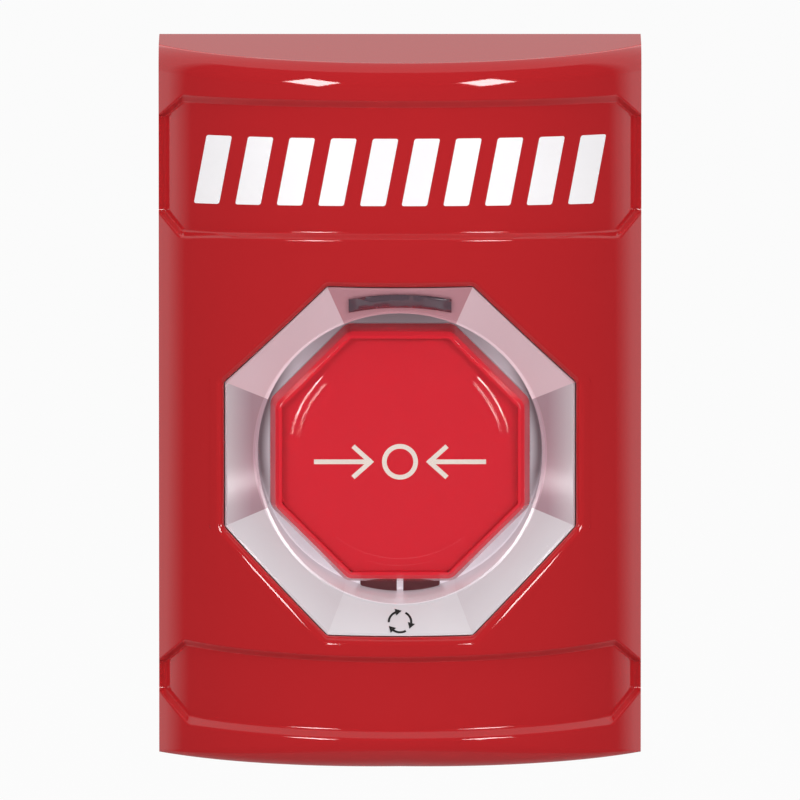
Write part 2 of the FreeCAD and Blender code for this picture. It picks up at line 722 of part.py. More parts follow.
def board_ribs():
    """Two grooved ribs behind the top facet that hold the ends of the board."""
    inner = BOARD_WIDTH / 2 - BOARD_GROOVE_DEPTH
    outer = inner + BOARD_RIB_WIDTH
    back = board_front() - BOARD_THICKNESS - 1.2
    top = board_bottom() + BOARD_HEIGHT - 2
    low = BUTTON_Z + well_radius(back) - 4.5
    cover = plan_disc(PLAN_RADIUS - HOUSING_WALL - SLIP - 0.5)
    keep_out = rod(0, BUTTON_Z, well_radius(curve_depth(0, PLAN_RADIUS)) + 0.3, 0, FAR)
    ribs = []
    for side in (-1, 1):
        x0, x1 = sorted((side * inner, side * outer))
        rib = block(x0, x1, back, curve_depth(0, PLAN_RADIUS), low, top)
        ribs.append(rib.common(cover).cut(keep_out))
    return ribs


def indicator_lamps():
    front = board_front() + LAMP_HEIGHT
    middle = board_bottom() + LAMP_SIZE / 2 - SLIP
    solids = []
    for side in (-1, 1):
        x = side * LAMP_SPACING / 2
        half = LAMP_SIZE / 2
        solids.append(block(x - half, x + half, board_front(), front, middle - half, middle + half))
    return Part.makeCompound(solids)


# Button


def cap_taper(across_front, across_back, back, front, corner=CAP_CORNER_RADIUS):
    wires = [octagon_wire(across_back, back, corner), octagon_wire(across_front, front, corner)]
    return Part.makeLoft(wires, True, True)


def button_cap():
    bevel_back = FACE_DEPTH - CAP_BEVEL
    skirt_across = CAP_ACROSS + 2 * CAP_SKIRT_FLARE
    skirt = cap_taper(CAP_ACROSS, skirt_across, BASE_BACK, bevel_back)
    bevel = cap_taper(CAP_ACROSS - 2 * CAP_BEVEL, CAP_ACROSS, bevel_back, FACE_DEPTH)
    crown = Part.makeCone(
        CROWN_RADIUS, CROWN_RADIUS - CROWN_STEP, CROWN_HEIGHT, at(0, FACE_DEPTH, BUTTON_Z), REARWARD * -1
    )
    body = join(skirt, bevel, crown)
    hollow = cap_taper(
        CAP_ACROSS - 2 * CAP_WALL, skirt_across - 2 * CAP_WALL, BASE_BACK, FACE_DEPTH - CAP_WALL - 0.2
    )
    return body.cut(hollow)


def tray_front():
    return FACE_DEPTH - CAP_WALL - 0.2 - TRAY_GAP


def button_insert():
    """Red octagonal tray under the clear cap."""
    front = tray_front()
    across = CAP_ACROSS - 2 * CAP_WALL - 2 * TRAY_GAP
    tray = cap_taper(across, across, front - TRAY_HEIGHT, front)
    inner = across - 2 * TRAY_SKIRT
    hollow = cap_taper(inner, inner, front - TRAY_HEIGHT, front - TRAY_THICKNESS, CAP_CORNER_RADIUS / 2)
    return tray.cut(hollow)


def button_base():
    """Carrier under the tray with the hollow stem, the cam's seat, the tail and the grooved neck."""
    tray_back = tray_front() - TRAY_HEIGHT
    tray_across = CAP_ACROSS - 2 * CAP_WALL - 2 * TRAY_GAP
    inner = tray_across - 2 * TRAY_SKIRT - 2 * TRAY_GAP
    foot = cap_taper(tray_across, CAP_ACROSS - 2 * TRAY_GAP, BASE_BACK, tray_back - RUNNING_GAP)
    table = octagon_prism(inner, BASE_BACK, tray_front() - TRAY_THICKNESS - TRAY_GAP, CAP_CORNER_RADIUS / 2)
    stem = rod(0, BUTTON_Z, STEM_RADIUS, CAM_FRONT, BASE_BACK + OVER)
    seat = rod(0, BUTTON_Z, CAM_SEAT_RADIUS, CAM_BACK - OVER, CAM_FRONT + OVER)
    tail = rod(0, BUTTON_Z, TAIL_RADIUS, PLATE_FRONT + RUNNING_GAP, CAM_BACK)
    neck = rod(0, BUTTON_Z, NECK_RADIUS, STEM_END, PLATE_FRONT + OVER)
    body = join(foot, table, stem, seat, tail, neck)
    groove_radius = NECK_RADIUS - RING_GROOVE
    groove = tube(0, BUTTON_Z, NECK_RADIUS + OVER, groove_radius, RING_BACK - RUNNING_GAP, RING_FRONT)
    bore = rod(0, BUTTON_Z, STEM_BORE_RADIUS, CAM_BACK + 0.5, tray_front() - TRAY_THICKNESS - 1.5)
    under = octagon_prism(inner - 4, BASE_BACK - OVER, BASE_BACK + 1.2, CAP_CORNER_RADIUS / 2)
    under = under.cut(rod(0, BUTTON_Z, STEM_RADIUS + 3, BASE_BACK - 2, BASE_BACK + 3))
    body = body.cut(groove).cut(bore).cut(under).cut(cam_pin_rod(CAM_PIN_RADIUS + PILOT_CLEARANCE))
    return body.removeSplitter()


def cam_pin_rod(radius):
    """The cross pin's place, level across the middle of the cam."""
    depth = (CAM_FRONT + CAM_BACK) / 2
    length = 2 * (CAM_RADIUS - 0.5)
    return Part.makeCylinder(radius, length, at(-length / 2, depth, BUTTON_Z), Vector(1, 0, 0))


def sector(inner, outer, back, front, middle, width):
    """A ring sector round the button axis; angles run from +X towards +Z, in degrees."""
    ring = tube(0, BUTTON_Z, outer, inner, back, front)
    reach = 3 * outer
    half = math.radians(width / 2)
    centre = math.radians(middle)
    points = [at(0, front + OVER, BUTTON_Z)]
    for angle in (centre - half, centre, centre + half):
        points.append(at(reach * math.cos(angle), front + OVER, BUTTON_Z + reach * math.sin(angle)))
    wedge = Part.Face(Part.makePolygon(points + points[:1])).extrude(REARWARD * (front - back + 2))
    return ring.common(wedge)


LUG_MIDDLES = (90, 210, 330)


def latch_cam():
    collar = tube(0, BUTTON_Z, CAM_RADIUS, CAM_SEAT_RADIUS + RUNNING_GAP, CAM_BACK, CAM_FRONT)
    lugs = [sector(CAM_RADIUS - OVER, LUG_RADIUS, CAM_BACK, CAM_FRONT, m, LUG_ANGLE) for m in LUG_MIDDLES]
    return join(collar, *lugs).cut(cam_pin_rod(CAM_PIN_RADIUS + PILOT_CLEARANCE))


def cam_pin():
    return cam_pin_rod(CAM_PIN_RADIUS)


def latch_housing():
    """Barrel with three stop ribs, four screw ears, a guide floor and two legs for the carrier."""
    outer_radius = CHAMBER_RADIUS + BARREL_WALL
    barrel = tube(0, BUTTON_Z, outer_radius, CHAMBER_RADIUS, BARREL_BACK, FLOOR_BACK)
    floor = rod(0, BUTTON_Z, outer_radius, BARREL_BACK, BARREL_FLOOR_FRONT)
    rib_angle = 120 - LUG_ANGLE - TURN_ANGLE - 2 * STOP_ANGLE
    ribs = []
    for middle in LUG_MIDDLES:
        rib_middle = middle + LUG_ANGLE / 2 + STOP_ANGLE + rib_angle / 2
        ribs.append(
            sector(
                STOP_RIB_INNER_RADIUS, CHAMBER_RADIUS + OVER, BARREL_BACK, FLOOR_BACK - HUB_LENGTH / 2,
                rib_middle, rib_angle,
            )
        )
    ears = []
    for x, z in ear_places():
        ear = block(0, EAR_PITCH_RADIUS, POST_BACK - EAR_THICKNESS, POST_BACK, -EAR_RADIUS, EAR_RADIUS)
        ear.rotate(Vector(0, 0, 0), REARWARD, -math.degrees(math.atan2(z - BUTTON_Z, x)))
        ear.translate(Vector(0, 0, BUTTON_Z))
        ears += [ear, rod(x, z, EAR_RADIUS, POST_BACK - EAR_THICKNESS, POST_BACK)]
    legs = []
    for z0, z1 in leg_spans():
        legs.append(block(-LEG_HALF_WIDTH, LEG_HALF_WIDTH, CARRIER_FRONT, BARREL_BACK + OVER, z0, z1))
    body = join(barrel, floor, *ribs, *ears, *legs)
    chamber = rod(0, BUTTON_Z, STOP_RIB_INNER_RADIUS, BARREL_FLOOR_FRONT, FLOOR_BACK + OVER)
    ring_space = tube(0, BUTTON_Z, CHAMBER_RADIUS, 1, BARREL_FLOOR_FRONT, FLOOR_BACK + OVER)
    for rib in ribs:
        ring_space = ring_space.cut(rib)
    body = body.cut(chamber).cut(ring_space).cut(rod(0, BUTTON_Z, TAIL_RADIUS + RUNNING_GAP, -FAR, FAR / 2))
    for x, z in ear_places():
        body = body.cut(rod(x, z, SCREW_HOLE_RADIUS, POST_BACK - EAR_THICKNESS - OVER, POST_BACK + OVER))
    pilot_radius = SCREW_RADIUS + PILOT_CLEARANCE
    for z in carrier_screw_places():
        body = body.cut(rod(0, z, pilot_radius, CARRIER_FRONT - OVER, CARRIER_FRONT + SCREW_LENGTH))
    return body.removeSplitter()


def leg_spans():
    outer = LEG_INNER + 2 * LEG_THICKNESS
    return [(BUTTON_Z + LEG_INNER, BUTTON_Z + outer), (BUTTON_Z - outer, BUTTON_Z - LEG_INNER)]


def carrier_screw_places():
    return [(z0 + z1) / 2 for z0, z1 in leg_spans()]


def latch_housing_screws():
    seat = POST_BACK - EAR_THICKNESS
    return Part.makeCompound([screw(x, z, seat, -1) for x, z in ear_places()])


def push_plate():
    """Cross plate that slides on the stem's neck between the two legs, which keep it from turning."""
    half = PLATE_HALF_WIDTH
    tall = PLATE_HALF_HEIGHT
    cut = PLATE_CORNER_CUT
    outline = [
        (half, tall - cut), (half - cut, tall), (cut - half, tall), (-half, tall - cut),
        (-half, cut - tall), (cut - half, -tall), (half - cut, -tall), (half, cut - tall),
    ]
    points = [at(x, PLATE_FRONT, BUTTON_Z + z) for x, z in outline]
    plate = Part.Face(Part.makePolygon(points + points[:1])).extrude(REARWARD * PLATE_THICKNESS)
    for z0, z1 in leg_spans():
        notch = block(
            -LEG_HALF_WIDTH - PLATE_GAP, LEG_HALF_WIDTH + PLATE_GAP, PLATE_BACK - OVER, PLATE_FRONT + OVER,
            z0 - PLATE_GAP, z1 + PLATE_GAP,
        )
        plate = plate.cut(notch)
    return plate.cut(rod(0, BUTTON_Z, NECK_RADIUS + RUNNING_GAP, -FAR, FAR))


def retaining_ring():
    bore = NECK_RADIUS - RING_GROOVE + RUNNING_GAP
    ring = tube(0, BUTTON_Z, NECK_RADIUS + RING_WIDTH, bore, RING_BACK, RING_FRONT)
    half = RING_OPENING / 2
    below = BUTTON_Z - 2 * NECK_RADIUS
    return ring.cut(block(-half, half, RING_BACK - OVER, RING_FRONT + OVER, below, BUTTON_Z))


def return_spring():
    return coil(
        RETURN_SPRING_RADIUS, RETURN_SPRING_WIRE, RETURN_SPRING_TURNS, RETURN_SPRING_TURNS,
        BARREL_FLOOR_FRONT + 0.1, CAM_BACK - 0.1, 0,
    )


# Contacts


def contact_carrier():
    z0, z1 = BUTTON_Z - CARRIER_HALF_HEIGHT, BUTTON_Z + CARRIER_HALF_HEIGHT
    plate = block(-CARRIER_HALF_WIDTH, CARRIER_HALF_WIDTH, CARRIER_BACK, CARRIER_FRONT, z0, z1)
    outer_leg = LEG_INNER + 2 * LEG_THICKNESS
    low, high = BUTTON_Z - outer_leg, BUTTON_Z + outer_leg
    tab = block(-LEG_HALF_WIDTH, LEG_HALF_WIDTH, CARRIER_BACK, CARRIER_FRONT, low, high)
    arms = []
    for side in (-1, 1):
        x0, x1 = sorted((side * ARM_INNER_X, side * CARRIER_HALF_WIDTH))
        low, high = BUTTON_Z - ARM_HALF_HEIGHT, BUTTON_Z + ARM_HALF_HEIGHT
        arm_end = CARRIER_BACK - ARM_LENGTH
        arms.append(block(x0, x1, arm_end, CARRIER_BACK, low, high))
        n0, n1 = sorted((side * (ARM_INNER_X - NIB_SIZE), side * CARRIER_HALF_WIDTH))
        arms.append(block(n0, n1, arm_end, arm_end + NIB_LENGTH, low, high))
    body = join(plate, tab, *arms)
    body = body.cut(rod(0, BUTTON_Z, CARRIER_CENTRE_RADIUS, -FAR, FAR))
    for side in (-1, 1):
        body = body.cut(rod(side * BLOCK_CENTRE_X, BUTTON_Z, PLUNGER_RADIUS + PLATE_GAP, -FAR, FAR))
    for z in carrier_screw_places():
        body = body.cut(rod(0, z, SCREW_HOLE_RADIUS, -FAR, FAR))
    return body


def carrier_screws():
    return Part.makeCompound([screw(0, z, CARRIER_BACK, -1) for z in carrier_screw_places()])


def terminal_places():
    return [BUTTON_Z + TERMINAL_OFFSET, BUTTON_Z - TERMINAL_OFFSET]


def contact_strips(side, grow):
    """Two fixed contact strips that run from the bridge's ends to under the terminal screws."""
    x = side * BLOCK_CENTRE_X
    half = CONTACT_HALF_WIDTH + grow
    strips = []
    for up in (-1, 1):
        z0, z1 = sorted((BUTTON_Z + up * (CONTACT_TIP - grow), BUTTON_Z + up * (CONTACT_END + grow)))
        strips.append(block(x - half, x + half, CONTACT_BACK - grow, CONTACT_FRONT + grow, z0, z1))
    return strips


def contact_block(side):
    x = side * BLOCK_CENTRE_X
    half = BLOCK_WIDTH / 2
    z0, z1 = BUTTON_Z - BLOCK_HALF_HEIGHT, BUTTON_Z + BLOCK_HALF_HEIGHT
    body = block(x - half, x + half, BLOCK_BACK, CARRIER_BACK, z0, z1)
    body = body.makeChamfer(BLOCK_EDGE, [e for e in body.Edges if e.BoundBox.YMin > -BLOCK_BACK - 1e-6])
    body = body.cut(rod(x, BUTTON_Z, PLUNGER_RADIUS + RUNNING_GAP, CHAMBER_FRONT - OVER, CARRIER_BACK + OVER))
    low, high = BUTTON_Z - CHAMBER_HALF_HEIGHT, BUTTON_Z + CHAMBER_HALF_HEIGHT
    wide = CHAMBER_HALF_WIDTH
    body = body.cut(block(x - wide, x + wide, CHAMBER_BACK, CHAMBER_FRONT, low, high))
    for strip in contact_strips(side, PILOT_CLEARANCE):
        body = body.cut(strip)
    for z in terminal_places():
        body = body.cut(rod(x, z, TERMINAL_POCKET_RADIUS, BLOCK_BACK - OVER, CONTACT_BACK))
        shank_end = CONTACT_BACK + TERMINAL_SCREW_LENGTH
        body = body.cut(rod(x, z, TERMINAL_SCREW_RADIUS + PILOT_CLEARANCE, CONTACT_BACK, shank_end))
        entry = Part.makeCylinder(
            WIRE_HOLE_RADIUS, BLOCK_HALF_HEIGHT + OVER - TERMINAL_OFFSET,
            at(x, CONTACT_BACK + WIRE_HOLE_LIFT - WIRE_HOLE_RADIUS, z), UP if z > BUTTON_Z else UP * -1,
        )
        body = body.cut(entry)
    n0, n1 = sorted((side * (ARM_INNER_X - NIB_SIZE - 2 * SLIP), side * (ARM_INNER_X + OVER)))
    arm_low, arm_high = BUTTON_Z - ARM_HALF_HEIGHT - SLIP, BUTTON_Z + ARM_HALF_HEIGHT + SLIP
    nib_back = CARRIER_BACK - ARM_LENGTH
    return body.cut(block(n0, n1, nib_back - SLIP, nib_back + NIB_LENGTH + SLIP, arm_low, arm_high))


def fixed_contacts(side):
    solids = []
    for strip, z in zip(contact_strips(side, 0), reversed(terminal_places())):
        hole = rod(side * BLOCK_CENTRE_X, z, TERMINAL_SCREW_RADIUS + PILOT_CLEARANCE, -FAR, FAR)
        solids.append(strip.cut(hole))
    return Part.makeCompound(solids)


def terminal_screws(side):
    """Pan-head screws whose heads stand clear of the strip by the room for a wire."""
    x = side * BLOCK_CENTRE_X
    length = TERMINAL_HEAD_LIFT + TERMINAL_SCREW_LENGTH - OVER
    seat = CONTACT_BACK - TERMINAL_HEAD_LIFT
    return Part.makeCompound(
        [screw(x, z, seat, -1, length, radius=TERMINAL_SCREW_RADIUS) for z in terminal_places()]
    )


def plunger(side):
    x = side * BLOCK_CENTRE_X
    tip = rod(x, BUTTON_Z, PLUNGER_RADIUS, BRIDGE_FRONT, PLUNGER_FRONT)
    edge = [e for e in tip.Edges if e.BoundBox.YMax < -PLUNGER_FRONT + 1e-6]
    tip = tip.makeChamfer(BLOCK_EDGE, edge)
    collar = rod(x, BUTTON_Z, PLUNGER_COLLAR_RADIUS, BRIDGE_FRONT, BRIDGE_FRONT + PLUNGER_COLLAR)
    neck = rod(x, BUTTON_Z, PLUNGER_NECK_RADIUS, BRIDGE_BACK - PLUNGER_NECK_LENGTH, BRIDGE_FRONT + OVER)
    return join(tip, collar, neck)


def contact_bridge(side):
    x = side * BLOCK_CENTRE_X
    wide, tall = BRIDGE_HALF_WIDTH, BRIDGE_HALF_HEIGHT
    plate = block(x - wide, x + wide, BRIDGE_BACK, BRIDGE_FRONT, BUTTON_Z - tall, BUTTON_Z + tall)
    return plate.cut(rod(x, BUTTON_Z, PLUNGER_NECK_RADIUS + PILOT_CLEARANCE, -FAR, FAR))


def plunger_spring(side):
    return coil(
        PLUNGER_SPRING_RADIUS, PLUNGER_SPRING_WIRE, PLUNGER_SPRING_TURNS, 1,
        CHAMBER_BACK + 0.1, BRIDGE_BACK - 0.1, side * BLOCK_CENTRE_X,
    )


# Mounting plate


def rounded_plate(half_width, z0, z1, back, front, corner):
    plate = block(-half_width, half_width, back, front, z0, z1)
    edges = [e for e in plate.Edges if e.BoundBox.YLength > (front - back) / 2]
    return plate.makeFillet(corner, edges)


def mounting_plate():
    half_width = CAVITY_HALF_WIDTH - PLATE_FIT
    half_height = CAVITY_HALF_HEIGHT - PLATE_FIT
    plate = rounded_plate(half_width, -half_height, half_height, 0, BACK_PLATE_THICKNESS, BACK_PLATE_CORNER)
    rim = rounded_plate(
        APERTURE_HALF_WIDTH + APERTURE_RIM_WIDTH,
        APERTURE_BOTTOM - APERTURE_RIM_WIDTH,
        APERTURE_TOP + APERTURE_RIM_WIDTH,
        0,
        BACK_PLATE_THICKNESS + APERTURE_RIM_HEIGHT,
        APERTURE_CORNER,
    )
    aperture = rounded_plate(
        APERTURE_HALF_WIDTH, APERTURE_BOTTOM, APERTURE_TOP, -1, HOUSING_DEPTH / 2, APERTURE_CORNER
    )
    extras = [rim]
    for side in (-1, 1):
        x = side * HOOK_X
        tip_back = LEDGE_DEPTH + LEDGE_THICKNESS + HOOK_GAP
        arm_top = CAVITY_HALF_HEIGHT - LEDGE_HEIGHT - HOOK_GAP
        tip_front = tip_back + HOOK_THICKNESS
        x0, x1 = x - HOOK_HALF_WIDTH, x + HOOK_HALF_WIDTH
        arm = block(x0, x1, 0, tip_front, arm_top - HOOK_THICKNESS, arm_top)
        tip = block(x0, x1, tip_back, tip_front, arm_top - OVER, CAVITY_HALF_HEIGHT - HOOK_GAP)
        lug_x0, lug_x1 = side * LUG_X - LUG_HALF_WIDTH, side * LUG_X + LUG_HALF_WIDTH
        lug_front = BACK_PLATE_THICKNESS + LUG_LENGTH
        lug = block(lug_x0, lug_x1, 0, lug_front, -half_height, -half_height + LUG_HEIGHT)
        extras += [arm, tip, lug]
    body = join(plate, *extras).cut(aperture)
    for side in (-1, 1):
        pilot_top = -HALF_HEIGHT + COUNTERBORE_DEPTH + SCREW_LENGTH + 0.3
        body = body.cut(
            upright_rod(side * LUG_X, SCREW_RADIUS + PILOT_CLEARANCE, -HALF_HEIGHT, pilot_top)
        )
        body = body.cut(rod(0, side * WALL_SCREW_SPACING / 2, WALL_SCREW_HOLE_RADIUS, -1, HOUSING_DEPTH / 2))
    return body.removeSplitter()


def build_nodes():
    nodes = {
        "front_housing": front_housing(),
        "octagon_bezel": octagon_bezel(),
        "bezel_screws": bezel_screws(),
        "indicator_lens": lens_shape(0),
        "indicator_board": board_solid(0),
        "indicator_lamps": indicator_lamps(),
        "button_cap": button_cap(),
        "button_insert": button_insert(),
        "button_base": button_base(),
        "latch_cam": latch_cam(),
        "cam_pin": cam_pin(),
        "return_spring": return_spring(),
        "latch_housing": latch_housing(),
        "latch_housing_screws": latch_housing_screws(),
        "push_plate": push_plate(),
        "retaining_ring": retaining_ring(),
        "contact_carrier": contact_carrier(),
        "carrier_screws": carrier_screws(),
        "mounting_plate": mounting_plate(),
        "housing_screws": housing_screws(),
    }
    for name, side in (("left", -1), ("right", 1)):
        nodes["contact_block_" + name] = contact_block(side)
        nodes["fixed_contacts_" + name] = fixed_contacts(side)
        nodes["terminal_screws_" + name] = terminal_screws(side)
        nodes["plunger_" + name] = plunger(side)
        nodes["contact_bridge_" + name] = contact_bridge(side)
        nodes["plunger_spring_" + name] = plunger_spring(side)
    return nodes


os.makedirs("parts", exist_ok=True)
for node, shape in build_nodes().items():
    shape.exportStep("parts/" + node + ".step")
    box = shape.BoundBox
    spans = [
        f"{low:.2f}..{high:.2f}"
        for low, high in ((box.XMin, box.XMax), (box.YMin, box.YMax), (box.ZMin, box.ZMax))
    ]
    print(
        f"{node}: {len(shape.Solids)} solids, valid {shape.isValid()}, volume {shape.Volume:.1f}, "
        f"x {spans[0]}, y {spans[1]}, z {spans[2]}"
    )
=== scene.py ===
import json
import math

import bpy
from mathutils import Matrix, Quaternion, Vector


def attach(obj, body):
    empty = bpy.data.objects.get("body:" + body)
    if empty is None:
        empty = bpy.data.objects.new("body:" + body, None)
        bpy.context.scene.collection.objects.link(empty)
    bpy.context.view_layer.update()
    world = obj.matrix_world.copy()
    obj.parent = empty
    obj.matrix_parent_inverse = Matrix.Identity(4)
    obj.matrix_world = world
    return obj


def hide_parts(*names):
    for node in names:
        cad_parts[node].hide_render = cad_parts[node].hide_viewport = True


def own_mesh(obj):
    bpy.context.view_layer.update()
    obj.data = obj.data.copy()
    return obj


# Wall-mounted emergency push station, seen from the front. Pieces are modelled in millimetres and
# scaled to metres when they are finished. What follows the convex front is modelled flat first: x is
# real, y is the distance behind the front surface, and wrap() bends it round the front's axis.

MM = 0.001

# Housing
HALF_WIDTH = 41.0
HALF_HEIGHT = 60.5
DEPTH = 40.9
BOW = 22.6
WALL = 2.5
SLAB_DEPTH = 7
COLUMN_STEP = 1.0
COLUMN_REACH = 57.5
TOP_RADIUS = 4.5
TOP_SWEEP = math.radians(66)
TOP_DRAFT = 0.009
LOW_RADIUS_MIDDLE = 6.5
LOW_RADIUS_SIDE = 0.5
LOW_ZONE = 5.1
OPENING_ACROSS = 59.7
OPENING_CORNER = 1.2
OPENING_FILLET = 1.5
PLAN_RADIUS = (HALF_WIDTH**2 + BOW**2) / (2 * BOW)
PLAN_AXIS_Y = PLAN_RADIUS - DEPTH
BUTTON_Z = -7.85
EIGHTH = math.radians(45)
CORNER = 1 / math.cos(EIGHTH / 2)

# Screw holes in the bottom wall: radius and top level of the head's hole and the shank's
BOTTOM_SCREW_X = 25
BOTTOM_SCREW_Y = -6.4
BOTTOM_SCREW_START = -62
BOTTOM_SCREW_HOLES = ((3.0, -59.2), (1.6, -57.0))

# Recessed bands: corner level and run of the upper and lower wall, and the levels of the ends
BAND_RECESS = 1.3
BAND_CORNER_X = 36.3
BAND_END_RUN = 1.9
BAND_END_STEP = 0.16
BAND_END_SLOPE = 0.55
BAND_EDGE = 0.3
FOLD_STEP = 0.004
TOP_BAND = {"upper": (52.9, 1.4), "lower": (28.6, 0.7), "ends": (48.7, 32.2)}
LOW_BAND = {"upper": (-40.4, 0.8), "lower": (-54.8, 0.95), "ends": (-44.7, -49.8)}
RISES = (
    (-60.5, 0.0), (-55.4, 0.0), (-55.1, -0.25), (-54.8, -0.25), (-40.4, -0.6), (-39.35, 0.0),
    (24.0, 0.0), (28.2, 1.7), (53.3, 1.0), (55.9, 0.0), (60.5, 0.0),
)

# Octagonal dish and its well
DISH_ACROSS = 59.4
RIM_INSET = 1.5
RIM_WIDTH = 0.4
RIM_STEP = 0.15
WELL_INSET = 6.0
WELL_LAND = 0.45
WELL_FLOOR_RADIUS = 24.0
WELL_SLOPE = 0.09
FLOOR_DEPTH = 20.5
SEAM_DEPTH = 25.0
BORE_RADIUS = 8.05
HUB_DEPTH = 15.9
SHELL = 1.2
SLOT_RADIUS = 24.75
SLOT_INNER = 20.6
SLOT_INSIDE_X = 0.55
SLOT_OUTSIDE_X = 6.75
SLOT_CORNER = 1.5
# Painted shade: a dark sheet behind the slots, its margin round them and its thickness
SHADE_SHEET_MARGIN = 0.8
SHADE_SHEET_THICKNESS = 0.4

# Flange and screw towers behind the dish
FLANGE_ACROSS = OPENING_ACROSS + 7.0
FLANGE_THICKNESS = 2.0
TOWER_PLACE = 24.9
TOWER_RADIUS = 5.0
TOWER_BORE = 1.6
TOWER_FRONT = -27.0
TOWER_BACK = -22.8

# Button
FACE_DEPTH = 30.9
CAP_ACROSS = 42.3
CAP_BEVEL = 0.65
CAP_FLARE = 2.0
CAP_BACK = 25.7
SKIRT_HEIGHT = 0.6
CAP_WALL = 0.9
CAP_CORNER = 2.0
CROWN_SUNK = 0.3
CROWN_STEPS = ((18.95, 18.65, 0.16), (18.0, 17.45, 0.38))
TRAY_ACROSS = 40.3
TRAY_DEPTH = 29.7
TRAY_HEIGHT = 2.6

# Printed marks: the bars in the upper band, the press sign on the tray, the turn sign on the dish
PRINT_HEIGHT = 0.05
BAR_COUNT = 10
BAR_PITCH = 7.05
BAR_WIDTH = 4.3
BAR_SLANT = 1.1
BAR_LOW = 34.35
BAR_HIGH = 46.15
BAR_CORNER = 0.35
PRESS_Z = -9.07
PRESS_RING = 3.05
PRESS_STROKE = 0.8
PRESS_TIP_X = 5.4
PRESS_TAIL_X = 14.6
PRESS_ARM = 4.0
PRESS_ARM_SLOPE = math.radians(42)
TURN_Z = -35.45
TURN_RADIUS = 1.9
TURN_STROKE = 0.36
TURN_STEPS = 60
TURN_SWEEP = math.radians(82)
TURN_START = math.radians(17)
TURN_HEAD = 0.72
TURN_STRETCH = 1.2


# Modelling by hand


def only(obj):
    """Selects obj alone and makes it active."""
    bpy.ops.object.select_all(action="DESELECT")
    obj.select_set(True)
    bpy.context.view_layer.objects.active = obj


def place(obj):
    """Moves an object's place, turn and scale into its mesh."""
    only(obj)
    bpy.ops.object.transform_apply(location=True, rotation=True, scale=True)
    return obj


def box(name, low, high):
    middle = [(a + b) / 2 for a, b in zip(low, high)]
    size = [b - a for a, b in zip(low, high)]
    bpy.ops.mesh.primitive_cube_add(size=1, location=middle, scale=size)
    obj = bpy.context.object
    obj.name = name
    return place(obj)


def rod(name, x, z, radius, y0, y1, sides=64):
    """A round rod along Y between two places on Y."""
    bpy.ops.mesh.primitive_cylinder_add(
        vertices=sides, radius=radius, depth=y1 - y0,
        location=(x, (y0 + y1) / 2, z), rotation=(math.pi / 2, 0, 0),
    )
    obj = bpy.context.object
    obj.name = name
    return place(obj)


def octagon_loop(name, across, y, corner=0.0, segments=4, cuts=0):
    """An octagonal loop of edges round the button axis, its corners rounded or its sides divided."""
    bpy.ops.mesh.primitive_circle_add(
        vertices=8, radius=across / 2 * CORNER, fill_type="NOTHING",
        location=(0, y, BUTTON_Z), rotation=(math.pi / 2, EIGHTH / 2, 0),
    )
    obj = bpy.context.object
    obj.name = name
    place(obj)
    bpy.ops.object.mode_set(mode="EDIT")
    bpy.ops.mesh.select_all(action="SELECT")
    if corner:
        bpy.ops.mesh.bevel(
            offset=corner * math.tan(EIGHTH / 2), segments=segments, affect="VERTICES", clamp_overlap=True
        )
    if cuts:
        bpy.ops.mesh.subdivide(number_cuts=cuts)
    bpy.ops.mesh.select_all(action="SELECT")
    return obj


def pull(factor=1.0, dy=0.0):
    """Extrudes the selected loop, sizes the new one round the button axis and moves it along Y."""
    bpy.ops.mesh.extrude_region_move(TRANSFORM_OT_translate={"value": (0, dy, 0)})
    if factor != 1.0:
        bpy.ops.transform.resize(value=(factor, 1, factor), center_override=(0, 0, BUTTON_Z))


def pick(obj, kind, test):
    """Goes into edit mode with the vertices, edges or faces selected for which test is true."""
    only(obj)
    bpy.ops.object.mode_set(mode="EDIT")
    bpy.ops.mesh.select_mode(type=kind)
    bpy.ops.mesh.select_all(action="DESELECT")
    bpy.ops.object.mode_set(mode="OBJECT")
    items = {"VERT": obj.data.vertices, "EDGE": obj.data.edges, "FACE": obj.data.polygons}[kind]
    for item in items:
        item.select = bool(test(item))
    bpy.ops.object.mode_set(mode="EDIT")


def leave():
    bpy.ops.object.mode_set(mode="OBJECT")


def middle(obj, edge):
    a, b = (obj.data.vertices[i].co for i in edge.vertices)
    return (a + b) / 2


def face_angles(obj):
    """The angle in degrees between the two faces at each edge, by edge key, and none at a border."""
    normals = {}
    for face in obj.data.polygons:
        for key in face.edge_keys:
            normals.setdefault(key, []).append(face.normal.copy())
    return {key: math.degrees(pair[0].angle(pair[1])) for key, pair in normals.items() if len(pair) == 2}


def trim(obj, point, normal):
    """Cuts off what lies on the side of the plane that normal points to, and closes the cut."""
    only(obj)
    bpy.ops.object.mode_set(mode="EDIT")
    bpy.ops.mesh.select_all(action="SELECT")
    bpy.ops.mesh.bisect(plane_co=point, plane_no=normal, use_fill=True, clear_outer=True)
    leave()


def combine(obj, other, operation="DIFFERENCE", solver="EXACT"):
    """Cuts the other piece out of obj, or adds it, and deletes it."""
    only(obj)
    modifier = obj.modifiers.new("combine", "BOOLEAN")
    modifier.operation = operation
    modifier.object = other
    modifier.solver = solver
    bpy.ops.object.modifier_apply(modifier=modifier.name)
    bpy.data.objects.remove(other, do_unlink=True)


def thicken(obj, thickness, even=False):
    """Gives an open skin its wall behind the side that its normals point to."""
    only(obj)
    modifier = obj.modifiers.new("wall", "SOLIDIFY")
    modifier.thickness = thickness
    modifier.offset = -1
    modifier.use_even_offset = even
    bpy.ops.object.modifier_apply(modifier=modifier.name)


def round_edges(obj, width, segments, angle):
    """Rounds the edges where the faces meet at more than an angle in degrees."""
    only(obj)
    modifier = obj.modifiers.new("round", "BEVEL")
    modifier.width = width
    modifier.segments = segments
    modifier.limit_method = "ANGLE"
    modifier.angle_limit = math.radians(angle)
    bpy.ops.object.modifier_apply(modifier=modifier.name)


